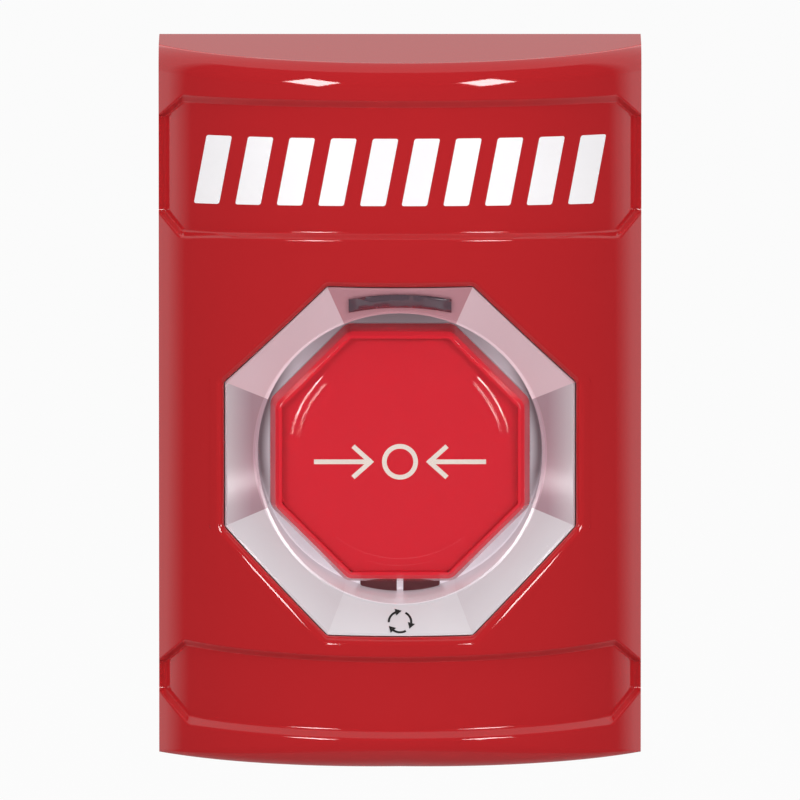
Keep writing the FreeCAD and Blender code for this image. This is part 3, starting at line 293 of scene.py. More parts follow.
def merge(obj, *others):
    """Joins other pieces into obj."""
    bpy.ops.object.select_all(action="DESELECT")
    for other in others:
        other.select_set(True)
    obj.select_set(True)
    bpy.context.view_layer.objects.active = obj
    bpy.ops.object.join()
    return obj


def smooth(obj, angle):
    """Smooth shading up to an angle between faces, with large flat faces kept flat."""
    only(obj)
    bpy.ops.object.shade_smooth_by_angle(angle=math.radians(angle))
    modifier = obj.modifiers.new("normals", "WEIGHTED_NORMAL")
    modifier.keep_sharp = True
    modifier.weight = 100
    bpy.ops.object.modifier_apply(modifier=modifier.name)


def finish_piece(obj, body, material, nodes=(), angle=30.0):
    """Scales a piece to metres, shades it, gives it its material, hangs it on its body and hides the CAD
    nodes it stands for.
    """
    obj.scale = (MM, MM, MM)
    place(obj)
    smooth(obj, angle)
    obj.data.materials.clear()
    obj.data.materials.append(material)
    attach(obj, body)
    if nodes:
        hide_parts(*nodes)
    return obj


# The curved front


def front_y(x, inset):
    """Where a vertical cylinder that lies inset behind the front surface is at x."""
    return PLAN_AXIS_Y - math.sqrt((PLAN_RADIUS - inset) ** 2 - x * x)


def rise(x, z):
    """How far the bands' edges lie above their corner level at x."""
    for (z0, rise0), (z1, rise1) in zip(RISES, RISES[1:]):
        if z0 <= z <= z1:
            full = rise0 + (rise1 - rise0) * (z - z0) / (z1 - z0)
            break
    else:
        return 0.0
    drop = PLAN_RADIUS - math.sqrt(PLAN_RADIUS**2 - x * x)
    corner_drop = PLAN_RADIUS - math.sqrt(PLAN_RADIUS**2 - BAND_CORNER_X**2)
    return full * max(0.0, 1 - drop / corner_drop)


def slice_columns(obj):
    """Divides a flat piece into columns that are narrow enough to bend."""
    only(obj)
    xs = [v.co.x for v in obj.data.vertices]
    bpy.ops.object.mode_set(mode="EDIT")
    count = int(COLUMN_REACH / COLUMN_STEP)
    for k in range(-count, count + 1):
        x = PLAN_RADIUS * math.sin(math.radians(k * COLUMN_STEP))
        if min(xs) + 0.01 < x < max(xs) - 0.01:
            bpy.ops.mesh.select_all(action="SELECT")
            bpy.ops.mesh.bisect(plane_co=(x, 0, 0), plane_no=(1, 0, 0))
    leave()


def wrap(obj, with_rise=True):
    """Bends a flat piece round the axis of the curved front."""
    for vertex in obj.data.vertices:
        x, inset, z = vertex.co
        lift = rise(x, z) if with_rise else 0.0
        vertex.co = (x, front_y(x, inset), z + lift)


def band_cutter(name, band):
    """The flat space of one recessed band, a block trimmed by its sloped walls and ends."""
    (upper_z, upper_run), (lower_z, lower_run) = band["upper"], band["lower"]
    cutter = box(name, (-HALF_WIDTH - 3, -4, lower_z - 3), (HALF_WIDTH + 3, BAND_RECESS, upper_z + 3))
    trim(cutter, (0, 0, upper_z), (0, upper_run, BAND_RECESS))
    trim(cutter, (0, 0, lower_z), (0, lower_run, -BAND_RECESS))
    foot_x = HALF_WIDTH - BAND_END_RUN
    for side in (-1, 1):
        rim = Vector((side * HALF_WIDTH, BAND_END_STEP, 0))
        foot = Vector((side * foot_x, BAND_RECESS, 0))
        along = foot - rim
        normal = along.cross(Vector((0, 0, 1)))
        if normal.y < 0:
            normal = -normal
        trim(cutter, rim, normal)
        for z_end, z_corner, way in ((band["ends"][0], upper_z, 1), (band["ends"][1], lower_z, -1)):
            end = Vector((side * HALF_WIDTH, 0, z_end))
            corner = Vector((side * BAND_CORNER_X, 0, z_corner))
            inner = Vector((side * foot_x, BAND_RECESS, z_end - way * BAND_END_SLOPE))
            normal = (corner - end).cross(inner - end)
            if normal.dot(Vector((side, 0, way))) < 0:
                normal = -normal
            trim(cutter, end, normal)
    return cutter


def in_band(point, band):
    margin = 1.5
    return band["lower"][0] - margin < point.z < band["upper"][0] + margin


def opening_reach(point):
    """Half the across-flats size of the octagon round the button axis that goes through a point."""
    x, z = abs(point.x), abs(point.z - BUTTON_Z)
    return max(x, z, (x + z) / math.sqrt(2))


def shape_ends(slab):
    """Reshapes the rounded edges: the upper arc stops in a crease, the lower radius grows to the middle."""
    side_angle = math.asin(HALF_WIDTH / PLAN_RADIUS)
    for vertex in slab.data.vertices:
        x, inset, z = vertex.co
        if z > HALF_HEIGHT - TOP_RADIUS - 0.001:
            turn = math.atan2(z - HALF_HEIGHT + TOP_RADIUS, TOP_RADIUS - inset) * TOP_SWEEP / math.radians(90)
            depth = -front_y(x, 0)
            crease = HALF_HEIGHT - TOP_DRAFT * depth
            vertex.co.y = TOP_RADIUS * (1 - math.cos(turn))
            vertex.co.z = crease - TOP_RADIUS * (math.sin(TOP_SWEEP) - math.sin(turn))
        elif z < -HALF_HEIGHT + LOW_ZONE + 0.001:
            share = math.asin(abs(x) / PLAN_RADIUS) / side_angle
            radius = LOW_RADIUS_MIDDLE + (LOW_RADIUS_SIDE - LOW_RADIUS_MIDDLE) * share
            vertex.co.y = inset * radius / LOW_ZONE
            vertex.co.z = -HALF_HEIGHT + (HALF_HEIGHT + z) * min(1.0, radius / LOW_ZONE)


def is_front_end(point, way):
    return point.y < 0.01 and point.z * way > HALF_HEIGHT - 0.01


def straighten_sides(slab, border):
    """Takes out the folds that the clamped band ends leave in the border along each side."""
    points = slab.data.vertices
    for side in (-1, 1):
        links = {}
        for a, b in border:
            if all(side * points[i].co.x > HALF_WIDTH - 0.01 for i in (a, b)):
                links.setdefault(a, []).append(b)
                links.setdefault(b, []).append(a)
        ends = [i for i in links if len(links[i]) == 1]
        before, here = None, max(ends, key=lambda i: points[i].co.z)
        lowest = points[here].co.z + FOLD_STEP
        while here is not None:
            points[here].co.z = lowest = max(-HALF_HEIGHT, min(lowest - FOLD_STEP, points[here].co.z))
            following = [i for i in links[here] if i != before]
            before, here = here, (following[0] if following else None)


def front_shell():
    """The red housing: a flat slab is rounded, cut and edged, then bent, given sides and a wall."""
    slab = box("front_shell", (-HALF_WIDTH, 0, -HALF_HEIGHT), (HALF_WIDTH, SLAB_DEPTH, HALF_HEIGHT))
    for way, zone in ((1, TOP_RADIUS), (-1, LOW_ZONE)):
        pick(slab, "EDGE", lambda e: is_front_end(middle(slab, e), way))
        bpy.ops.mesh.bevel(offset=zone, offset_type="OFFSET", segments=14, affect="EDGES")
        leave()
    plug = octagon_loop("plug", OPENING_ACROSS, -4, OPENING_CORNER)
    bpy.ops.mesh.edge_face_add()
    pull(dy=20)
    leave()
    only(plug)
    bpy.ops.object.mode_set(mode="EDIT")
    bpy.ops.mesh.select_all(action="SELECT")
    bpy.ops.mesh.normals_make_consistent(inside=False)
    leave()
    combine(slab, plug)
    for name, band in (("top", TOP_BAND), ("low", LOW_BAND)):
        combine(slab, band_cutter(name, band))

    angles = face_angles(slab)

    def is_band_edge(e):
        point = middle(slab, e)
        if abs(point.x) > HALF_WIDTH - 0.02 or point.y > BAND_RECESS + 0.05:
            return False
        if not (in_band(point, TOP_BAND) or in_band(point, LOW_BAND)):
            return False
        if opening_reach(point) < OPENING_ACROSS / 2 + 0.5:
            return False
        return angles.get(e.key, 0) > 20

    pick(slab, "EDGE", is_band_edge)
    bpy.ops.mesh.bevel(offset=BAND_EDGE, offset_type="OFFSET", segments=3, affect="EDGES")
    leave()

    def is_opening_rim(e):
        point = middle(slab, e)
        return point.y < 0.01 and abs(opening_reach(point) - OPENING_ACROSS / 2) < 0.35

    pick(slab, "EDGE", is_opening_rim)
    bpy.ops.mesh.bevel(offset=OPENING_FILLET, offset_type="OFFSET", segments=6, affect="EDGES")
    leave()

    def is_hidden(f):
        flat_side = abs(f.normal.x) > 0.99 and abs(f.center.x) > HALF_WIDTH - 0.01
        flat_end = abs(f.normal.z) > 0.9999 and abs(f.center.z) > HALF_HEIGHT - 0.01
        return flat_side or flat_end or f.normal.y > 0.99

    pick(slab, "FACE", is_hidden)
    bpy.ops.mesh.delete(type="FACE")
    leave()
    for vertex in slab.data.vertices:
        vertex.co.x = max(-HALF_WIDTH, min(HALF_WIDTH, vertex.co.x))
        if vertex.co.y > SLAB_DEPTH - 0.1 and opening_reach(vertex.co) < OPENING_ACROSS / 2 + 0.5:
            vertex.co.y = WALL
    slice_columns(slab)
    shape_ends(slab)
    wrap(slab)

    border = set()
    seen = set()
    for face in slab.data.polygons:
        for key in face.edge_keys:
            (border.discard if key in seen else border.add)(key)
            seen.add(key)

    straighten_sides(slab, border)

    def is_outer_border(e):
        point = middle(slab, e)
        return e.key in border and opening_reach(point) > OPENING_ACROSS / 2 + 2

    pick(slab, "EDGE", is_outer_border)
    bpy.ops.mesh.extrude_region_move(TRANSFORM_OT_translate={"value": (0, 0, 0)})
    bpy.ops.transform.resize(value=(1, 0, 1), center_override=(0, 0, 0))
    leave()
    for vertex in slab.data.vertices:
        if vertex.select and vertex.co.z > HALF_HEIGHT + TOP_DRAFT * front_y(vertex.co.x, 0) - 0.001:
            vertex.co.z = HALF_HEIGHT
    bpy.ops.object.mode_set(mode="EDIT")
    bpy.ops.mesh.select_all(action="SELECT")
    bpy.ops.mesh.remove_doubles(threshold=0.002)
    bpy.ops.mesh.select_all(action="SELECT")
    bpy.ops.mesh.normals_make_consistent(inside=False)
    leave()
    face_front(slab)
    outer_count = len(slab.data.vertices)
    thicken(slab, WALL)
    inner_width, inner_height = HALF_WIDTH - WALL, HALF_HEIGHT - WALL
    for vertex in slab.data.vertices[outer_count:]:
        vertex.co.x = max(-inner_width, min(inner_width, vertex.co.x))
        vertex.co.z = max(-inner_height, min(inner_height, vertex.co.z))
        vertex.co.y = min(vertex.co.y, 0)
    for side in (-1, 1):
        for radius, top in BOTTOM_SCREW_HOLES:
            bpy.ops.mesh.primitive_cylinder_add(
                vertices=48, radius=radius, depth=top - BOTTOM_SCREW_START,
                location=(side * BOTTOM_SCREW_X, BOTTOM_SCREW_Y, (top + BOTTOM_SCREW_START) / 2),
            )
            hole = place(bpy.context.object)
            combine(slab, hole, solver="FAST")
    return slab


def face_front(obj):
    """Turns a skin's normals over where its front looks backwards."""
    forward = sum(f.normal.y * f.area for f in obj.data.polygons)
    if forward > 0:
        only(obj)
        bpy.ops.object.mode_set(mode="EDIT")
        bpy.ops.mesh.select_all(action="SELECT")
        bpy.ops.mesh.flip_normals()
        leave()


# Dish


def well_radius(depth):
    """The radius of the well's conical wall at a depth."""
    return WELL_FLOOR_RADIUS + WELL_SLOPE * (depth - FLOOR_DEPTH)


def set_well_loop(obj, land, inset):
    """Puts the selected vertices on the well's edge, land millimetres inside its conical wall."""
    leave()
    for vertex in obj.data.vertices:
        if vertex.select:
            angle = math.atan2(vertex.co.z - BUTTON_Z, vertex.co.x)
            reach = WELL_FLOOR_RADIUS
            for _ in range(5):
                depth = -front_y(reach * math.cos(angle), inset)
                reach = well_radius(depth) - land
            vertex.co = (reach * math.cos(angle), -depth, BUTTON_Z + reach * math.sin(angle))
    bpy.ops.object.mode_set(mode="EDIT")


def set_flat_circle(obj, radius, y):
    """Puts the selected vertices on a flat circle round the button axis."""
    leave()
    for vertex in obj.data.vertices:
        if vertex.select:
            angle = math.atan2(vertex.co.z - BUTTON_Z, vertex.co.x)
            vertex.co = (radius * math.cos(angle), y, BUTTON_Z + radius * math.sin(angle))
    bpy.ops.object.mode_set(mode="EDIT")


def octagon_dish():
    """The white dish: loops are pulled from its outer wall over the rim and the facets into the well."""
    dish = octagon_loop("octagon_dish", DISH_ACROSS, RIM_INSET + 2.4, cuts=11)
    pull(dy=-2.4)
    pull((DISH_ACROSS - 2 * RIM_WIDTH) / DISH_ACROSS, RIM_STEP)
    leave()
    wrap(dish, with_rise=False)
    bpy.ops.object.mode_set(mode="EDIT")
    pull()
    set_well_loop(dish, 0, WELL_INSET)
    pull()
    set_well_loop(dish, WELL_LAND, WELL_INSET + 0.12)
    pull()
    set_flat_circle(dish, seam_radius(), -SEAM_DEPTH)
    bpy.ops.mesh.select_all(action="SELECT")
    bpy.ops.mesh.normals_make_consistent(inside=False)
    leave()
    face_front(dish)
    thicken(dish, SHELL)
    return merge(dish, well_floor())


def seam_radius():
    """The radius where the well's straight wall passes the level at which its floor piece begins."""
    top_depth = -front_y(0, WELL_INSET + 0.12)
    top_radius = well_radius(top_depth) - WELL_LAND
    share = (SEAM_DEPTH - FLOOR_DEPTH) / (top_depth - FLOOR_DEPTH)
    return WELL_FLOOR_RADIUS + (top_radius - WELL_FLOOR_RADIUS) * share


def well_floor():
    """The well's foot and floor with the bore for the stem and two slots."""
    foot = octagon_loop("well_floor", 2 * WELL_FLOOR_RADIUS / CORNER, -SEAM_DEPTH, cuts=11)
    set_flat_circle(foot, seam_radius(), -SEAM_DEPTH)
    pull()
    set_flat_circle(foot, WELL_FLOOR_RADIUS, -FLOOR_DEPTH)
    pull(BORE_RADIUS / WELL_FLOOR_RADIUS)
    pull(dy=FLOOR_DEPTH - HUB_DEPTH)
    bpy.ops.mesh.select_all(action="SELECT")
    bpy.ops.mesh.normals_make_consistent(inside=False)
    leave()
    face_front(foot)
    thicken(foot, SHELL, True)
    for side in (-1, 1):
        x0, x1 = sorted((side * SLOT_INSIDE_X, side * SLOT_OUTSIDE_X))
        slot = box("slot", (x0, -30, BUTTON_Z - SLOT_RADIUS - 4), (x1, -16, BUTTON_Z - SLOT_INNER))
        combine(slot, rod("round", 0, BUTTON_Z, SLOT_RADIUS, -31, -15, 192), "INTERSECT")
        pick(slot, "EDGE", lambda e: is_slot_corner(slot, e, side))
        bpy.ops.mesh.bevel(offset=SLOT_CORNER, segments=6, affect="EDGES", clamp_overlap=True)
        leave()
        combine(foot, slot)
    return foot


def slot_shade_sheet():
    """A dark sheet behind the two slots: painted shade that stands in for the shaded inside of the housing
    seen through them.
    """
    shade_sheet = box(
        "slot_shade_sheet", (-SLOT_OUTSIDE_X - SHADE_SHEET_MARGIN, -FLOOR_DEPTH + SHELL, BUTTON_Z - SLOT_RADIUS - 0.6),
        (SLOT_OUTSIDE_X + SHADE_SHEET_MARGIN, -FLOOR_DEPTH + SHELL + SHADE_SHEET_THICKNESS,
         BUTTON_Z - SLOT_INNER + SHADE_SHEET_MARGIN),
    )
    pick(shade_sheet, "EDGE", lambda e: is_along_y(shade_sheet, e))
    bpy.ops.mesh.bevel(offset=SHADE_SHEET_MARGIN, segments=4, affect="EDGES")
    leave()
    return shade_sheet


def is_slot_corner(slot, edge, side):
    a, b = (slot.data.vertices[i].co for i in edge.vertices)
    return abs(a.y - b.y) > 5 and side * (a.x + b.x) / 2 > SLOT_OUTSIDE_X - 0.01


def dish_flange():
    """The dish's flange behind the housing's wall with its four screw towers."""
    flange = octagon_loop("dish_flange", FLANGE_ACROSS, WALL + 0.15, cuts=11)
    pull((OPENING_ACROSS - 0.6) / FLANGE_ACROSS)
    leave()
    wrap(flange, with_rise=False)
    only(flange)
    face_front(flange)
    thicken(flange, FLANGE_THICKNESS)
    towers = []
    for side in (-1, 1):
        for up in (-1, 1):
            x, z = side * TOWER_PLACE, BUTTON_Z + up * TOWER_PLACE
            tower = rod("tower", x, z, TOWER_RADIUS, TOWER_FRONT, TOWER_BACK, 48)
            combine(tower, rod("hole", x, z, TOWER_BORE, -32, -22, 24))
            towers.append(tower)
    return merge(flange, *towers)


# Button


def octagon_taper(name, across_back, y_back, steps, corner=CAP_CORNER):
    """A closed octagonal solid; steps are (across, y) towards the front."""
    obj = octagon_loop(name, across_back, y_back, corner, segments=6)
    bpy.ops.mesh.edge_face_add()
    across, y = across_back, y_back
    for next_across, next_y in steps:
        pull(next_across / across, next_y - y)
        across, y = next_across, next_y
    bpy.ops.mesh.select_all(action="SELECT")
    bpy.ops.mesh.normals_make_consistent(inside=False)
    leave()
    return obj


def cap_shell():
    """The clear cap: flared skirt, bevel and round crown, hollow from behind."""
    bevel_y = -(FACE_DEPTH - CAP_BEVEL)
    steps = ((CAP_ACROSS, bevel_y), (CAP_ACROSS - 2 * CAP_BEVEL, -FACE_DEPTH))
    cap = octagon_taper("cap_shell", CAP_ACROSS + CAP_FLARE, -CAP_BACK, steps)
    for wide, narrow, height in CROWN_STEPS:
        bpy.ops.mesh.primitive_cone_add(
            vertices=128, radius1=wide + (wide - narrow) * CROWN_SUNK / height, radius2=narrow,
            depth=height + CROWN_SUNK, location=(0, -FACE_DEPTH - (height - CROWN_SUNK) / 2, BUTTON_Z),
            rotation=(math.pi / 2, 0, 0),
        )
        combine(cap, place(bpy.context.object), "UNION")
    hollow = octagon_taper(
        "hollow", CAP_ACROSS + CAP_FLARE - 2 * CAP_WALL, -CAP_BACK + 0.5,
        ((CAP_ACROSS - 2 * CAP_WALL, -(FACE_DEPTH - CAP_WALL - 0.2)),),
    )
    combine(cap, hollow)
    round_edges(cap, 0.1, 3, 15)
    pick(cap, "FACE", lambda f: f.normal.y < -0.999)
    bpy.ops.mesh.inset(thickness=0.15)
    leave()
    return cap


def insert_tray():
    """The red tray under the cap."""
    back = -(TRAY_DEPTH - TRAY_HEIGHT)
    tray = octagon_taper("insert_tray", TRAY_ACROSS, back, ((TRAY_ACROSS, -TRAY_DEPTH),))
    inner = TRAY_ACROSS - 2.0
    hollow = octagon_taper("hollow", inner, back + 0.5, ((inner, -(TRAY_DEPTH - 1.2)),), CAP_CORNER / 2)
    combine(tray, hollow)
    round_edges(tray, 0.25, 3, 40)
    return tray


# Printed marks


def copy_of(obj, name):
    """A copy of a piece with a mesh of its own."""
    twin = obj.copy()
    twin.data = obj.data.copy()
    twin.name = name
    bpy.context.collection.objects.link(twin)
    return twin


def is_along_y(obj, edge):
    a, b = (obj.data.vertices[i].co for i in edge.vertices)
    return abs(a.x - b.x) < 1e-4 and abs(a.z - b.z) < 1e-4


def band_bars():
    """Ten slanted bars in a row on the floor of the upper band: one is modelled, the others are copies."""
    first = box(
        "band_bar", (-BAR_WIDTH / 2, BAND_RECESS - PRINT_HEIGHT, BAR_LOW),
        (BAR_WIDTH / 2, BAND_RECESS + PRINT_HEIGHT, BAR_HIGH),
    )
    pick(first, "VERT", lambda v: v.co.z > BAR_HIGH - 0.1)
    bpy.ops.transform.translate(value=(BAR_SLANT, 0, 0))
    bpy.ops.mesh.select_all(action="INVERT")
    bpy.ops.transform.translate(value=(-BAR_SLANT, 0, 0))
    leave()
    pick(first, "EDGE", lambda e: is_along_y(first, e))
    bpy.ops.mesh.bevel(offset=BAR_CORNER, segments=3, affect="EDGES")
    leave()
    bars = []
    for k in range(BAR_COUNT):
        bar = copy_of(first, f"band_bar_{k + 1:02d}")
        bar.location.x = (k - (BAR_COUNT - 1) / 2) * BAR_PITCH
        place(bar)
        slice_columns(bar)
        wrap(bar)
        bars.append(bar)
    bpy.data.objects.remove(first, do_unlink=True)
    return bars


def press_sign():
    """Two arrows that point at a ring, on the red tray."""
    front, back = -TRAY_DEPTH - PRINT_HEIGHT, -TRAY_DEPTH + PRINT_HEIGHT
    ring = rod("press_sign", 0, PRESS_Z, PRESS_RING, front, back, 64)
    combine(ring, rod("hole", 0, PRESS_Z, PRESS_RING - PRESS_STROKE, front - 1, back + 1, 64))
    half = PRESS_STROKE / 2
    arrows = []
    for side in (-1, 1):
        x0, x1 = sorted((side * PRESS_TAIL_X, side * PRESS_TIP_X))
        arrow = box("arrow", (x0, front, PRESS_Z - half), (x1, back, PRESS_Z + half))
        for up in (-1, 1):
            arm = box("arm", (-half, front, -half), (half, back, PRESS_ARM))
            arm.rotation_euler.y = side * (math.pi / 2 - up * PRESS_ARM_SLOPE)
            arm.location = (side * (PRESS_TIP_X - half), 0, PRESS_Z)
            combine(arrow, place(arm), "UNION")
        arrows.append(arrow)
    return merge(ring, *arrows)


def turn_sign():
    """Three arrows that run round a circle, on the lowest facet of the dish."""
    bpy.ops.mesh.primitive_circle_add(
        vertices=TURN_STEPS, radius=TURN_RADIUS - TURN_STROKE / 2, fill_type="NOTHING",
        rotation=(math.pi / 2, 0, 0),
    )
    arc = place(bpy.context.object)
    arc.name = "turn_sign"
    pick(arc, "VERT", lambda v: not 0 <= math.atan2(v.co.z, v.co.x) <= TURN_SWEEP)
    bpy.ops.mesh.delete(type="VERT")
    bpy.ops.mesh.select_all(action="SELECT")
    wider = (TURN_RADIUS + TURN_STROKE / 2) / (TURN_RADIUS - TURN_STROKE / 2)
    bpy.ops.mesh.extrude_region_move()
    bpy.ops.transform.resize(value=(wider, 1, wider), center_override=(0, 0, 0))
    leave()
    bpy.ops.mesh.primitive_circle_add(
        vertices=3, radius=TURN_HEAD, fill_type="NGON", location=(TURN_RADIUS, 0, 0),
        rotation=(math.pi / 2, math.pi, 0),
    )
    head = place(bpy.context.object)
    sign = merge(arc, head)
    others = []
    for k in (1, 2):
        other = copy_of(sign, "arrow")
        other.rotation_euler.y = k * math.radians(120)
        others.append(place(other))
    merge(sign, *others)
    sign.rotation_euler.y = TURN_START
    place(sign)
    bpy.ops.object.mode_set(mode="EDIT")
    bpy.ops.mesh.select_all(action="SELECT")
    bpy.ops.mesh.normals_make_consistent(inside=False)
    leave()
    face_front(sign)
    thicken(sign, 0.04)
    rim = Vector((0, front_y(0, RIM_INSET + RIM_STEP), BUTTON_Z - DISH_ACROSS / 2 + RIM_WIDTH))
    edge_depth = -front_y(0, WELL_INSET)
    edge = Vector((0, -edge_depth, BUTTON_Z - well_radius(edge_depth)))
    slope = (edge - rim).normalized()
    normal = Vector((0, -slope.z, slope.y))
    sign.scale.z = TURN_STRETCH
    place(sign)
    sign.rotation_euler.x = -math.atan2(normal.z, -normal.y)
    share = (TURN_Z - rim.z) / (edge.z - rim.z)
    sign.location = rim + (edge - rim) * share + normal * PRINT_HEIGHT
    return place(sign)


# Shader building


class Value:
    """An output socket that can be used in sums."""

    def __init__(self, net, socket):
        self.net = net
        self.socket = socket

    def __add__(self, other):
        return self.net.math("ADD", self, other)

    def __sub__(self, other):
        return self.net.math("SUBTRACT", self, other)

    def __rsub__(self, other):
        return self.net.math("SUBTRACT", other, self)

    def __mul__(self, other):
        return self.net.math("MULTIPLY", self, other)

    def __gt__(self, other):
        return self.net.math("GREATER_THAN", self, other)

    def __lt__(self, other):
        return self.net.math("LESS_THAN", self, other)

    def __rmul__(self, other):
        return self.net.math("MULTIPLY", other, self)

    __radd__ = __add__


class Net:
    """A node tree that grows by calls."""

    def __init__(self, tree):
        self.tree = tree
        tree.nodes.clear()

    def node(self, kind, settings=None, inputs=None):
        made = self.tree.nodes.new(kind)
        for name, value in (settings or {}).items():
            setattr(made, name, value)
        for name, value in (inputs or {}).items():
            self.set(made.inputs[name], value)
        return made

    def set(self, socket, value):
        if isinstance(value, Value):
            self.tree.links.new(value.socket, socket)
        elif isinstance(value, bpy.types.Node):
            self.tree.links.new(value.outputs[0], socket)
        else:
            socket.default_value = value

    def out(self, node, name=0):
        return Value(self, node.outputs[name])

    def math(self, operation, a, b):
        return self.out(self.node("ShaderNodeMath", {"operation": operation}, {0: a, 1: b}))

    def object_point(self):
        return self.out(self.node("ShaderNodeTexCoord"), "Object")

    def axes(self, vector):
        split = self.node("ShaderNodeSeparateXYZ", None, {0: vector})
        return [self.out(split, k) for k in range(3)]

    def noise(self, vector, scale, detail=3.0):
        made = self.node("ShaderNodeTexNoise", None, {"Vector": vector, "Scale": scale, "Detail": detail})
        return self.out(made)

    def clamp(self, value):
        return self.out(self.node("ShaderNodeClamp", None, {0: value}))

    def blend(self, factor, a, b):
        made = self.node("ShaderNodeMix", {"data_type": "RGBA"})
        self.set(made.inputs[0], factor)
        self.set(made.inputs[6], a)
        self.set(made.inputs[7], b)
        return self.out(made, 2)

    def bump(self, height, distance):
        settings = {"Height": height, "Distance": distance, "Strength": 1.0}
        return self.out(self.node("ShaderNodeBump", None, settings))

    def mix_shader(self, factor, first, second):
        made = self.node("ShaderNodeMixShader", None, {0: factor})
        self.set(made.inputs[1], first)
        self.set(made.inputs[2], second)
        return made

    def output(self, surface):
        self.node("ShaderNodeOutputMaterial", None, {"Surface": surface})


def new_material(name):
    material = bpy.data.materials.new(name)
    material.use_nodes = True
    return material, Net(material.node_tree)


def plastic(name, colour, roughness, mottle=0.04, grain=0.0, grain_scale=4000, coat=0.0, metallic=0.0):
    """A moulded or plated surface with faint mottling, varied gloss and a fine grain."""
    material, net = new_material(name)
    point = net.object_point()
    cloud = net.noise(point, 60)
    light = tuple(min(1.0, c * (1 + mottle)) for c in colour) + (1.0,)
    dark = tuple(c * (1 - mottle) for c in colour) + (1.0,)
    inputs = {
        "Base Color": net.blend(cloud, dark, light),
        "Roughness": roughness * (0.8 + 0.4 * net.noise(point, 180)),
        "Coat Weight": coat,
        "Metallic": metallic,
    }
    if grain:
        inputs["Normal"] = net.bump(net.noise(point, grain_scale, 2.0), grain)
    net.output(net.node("ShaderNodeBsdfPrincipled", None, inputs))
    return material


def housing_plastic(name):
    """Glossy red moulding, satin on the band walls that face down, with painted light that makes the top face
    a lighter red.
    """
    material, net = new_material(name)
    point = net.object_point()
    cloud = net.noise(point, 60)
    faces = net.axes(net.out(net.node("ShaderNodeTexCoord"), "Normal"))
    satin = net.clamp((faces[2] * -1 - 0.3) * 5.0)
    # Painted light: the top face is given a lighter red than the rest of the housing.
    painted_top_light = net.axes(point)[2] > (HALF_HEIGHT - TOP_DRAFT * DEPTH) * MM
    body = net.blend(cloud, (0.465, 0.0157, 0.0196, 1), (0.483, 0.0163, 0.0204, 1))
    shader = net.node("ShaderNodeBsdfPrincipled", None, {
        "Base Color": net.blend(painted_top_light, body, (0.7, 0.023, 0.026, 1)),
        "Roughness": 0.06 + 0.02 * net.noise(point, 180) + 0.45 * satin,
        "Normal": net.bump(net.noise(point, 1500, 2.0), 0.000002),
    })
    net.output(shader)
    return material


def dish_plastic(name):
    """Translucent white moulding with painted shade, a pink darkening on its facets and in the well, and
    painted light given off by the well and the ring round it.
    """
    material, net = new_material(name)
    point = net.object_point()
    x, y, z = net.axes(point)
    across = net.math("ABSOLUTE", x, 0.0)
    up = z - BUTTON_Z * MM
    height = net.math("ABSOLUTE", up, 0.0)
    reach = net.math("MAXIMUM", net.math("MAXIMUM", across, height), (across + height) * math.sqrt(0.5))
    radius = net.math("SQRT", x * x + up * up, 0.0)

    # Masks: how far in a facet, which facet, in the well or on the ring round it
    inner = net.clamp((DISH_ACROSS / 2 * MM - reach) * (1 / (4.6 * MM)))
    slope = math.tan(EIGHTH / 2)
    in_side = across * slope > height
    in_top = up * slope > across
    in_upper = (up > 0) * (1 - in_side)
    in_lower = (up < 0) * (1 - in_side)
    in_low = up * -slope > across
    at_top = net.clamp((up - 14 * MM) * (1 / (9 * MM)))
    in_well = radius < (WELL_FLOOR_RADIUS + 0.1) * MM
    on_ring = (radius < (WELL_FLOOR_RADIUS + 0.95) * MM) - in_well

    # Painted shade and painted light by those masks: the side and lower facets darken towards the well, the
    # well darkens under its top and at its sides, and the well and ring give off light
    facets = in_side * (0.35 + 0.4 * inner) + in_lower * (0.1 + 0.14 * inner - 0.08 * in_low)
    outwards = net.clamp((radius - 22.4 * MM) * (1 / (1.2 * MM)))
    sideways = net.clamp((across - 16 * MM) * (1 / (6 * MM)))
    at_rim = outwards * sideways * in_well * net.clamp((up + 12 * MM) * (1 / (8 * MM)))
    painted_shade = facets * (1 - in_well) + in_well * (0.1 + 0.6 * at_top) + on_ring * 0.1 + 0.6 * at_rim
    mottle_and_painted_shade = painted_shade + 0.03 * net.noise(point, 90)
    # Painted shade: the upper facets get darker pink colours, darkest on the top facet; the lower colour runs
    # from white to a shaded pink by the painted shade above.
    upper = net.blend(in_top + 0.03 * net.noise(point, 90), (0.73, 0.51, 0.56, 1), (0.53, 0.25, 0.29, 1))
    lower = net.blend(mottle_and_painted_shade, (0.7, 0.67, 0.7, 1), (0.27, 0.1, 0.14, 1))
    low_part = net.clamp(up * (-1 / (24 * MM)))
    # Painted light: the well and the ring round it are made to give off light, less under the well's top and
    # at its sides, more towards the bottom.
    painted_glow = (in_well + 0.5 * on_ring) * (0.66 - 0.4 * at_top + 0.33 * low_part - 0.53 * at_rim)
    shader = net.node("ShaderNodeBsdfPrincipled", None, {
        "Base Color": net.blend(in_upper * (1 - in_well), lower, upper),
        "Roughness": 0.2 + 0.1 * net.noise(point, 180),
        "Normal": net.bump(net.noise(point, 3000, 2.0), 0.000002),
        "Emission Color": net.blend(painted_glow, (0, 0, 0, 1), (0.38, 0.34, 0.37, 1)),
        "Emission Strength": 1.0,
    })
    net.output(shader)
    return material


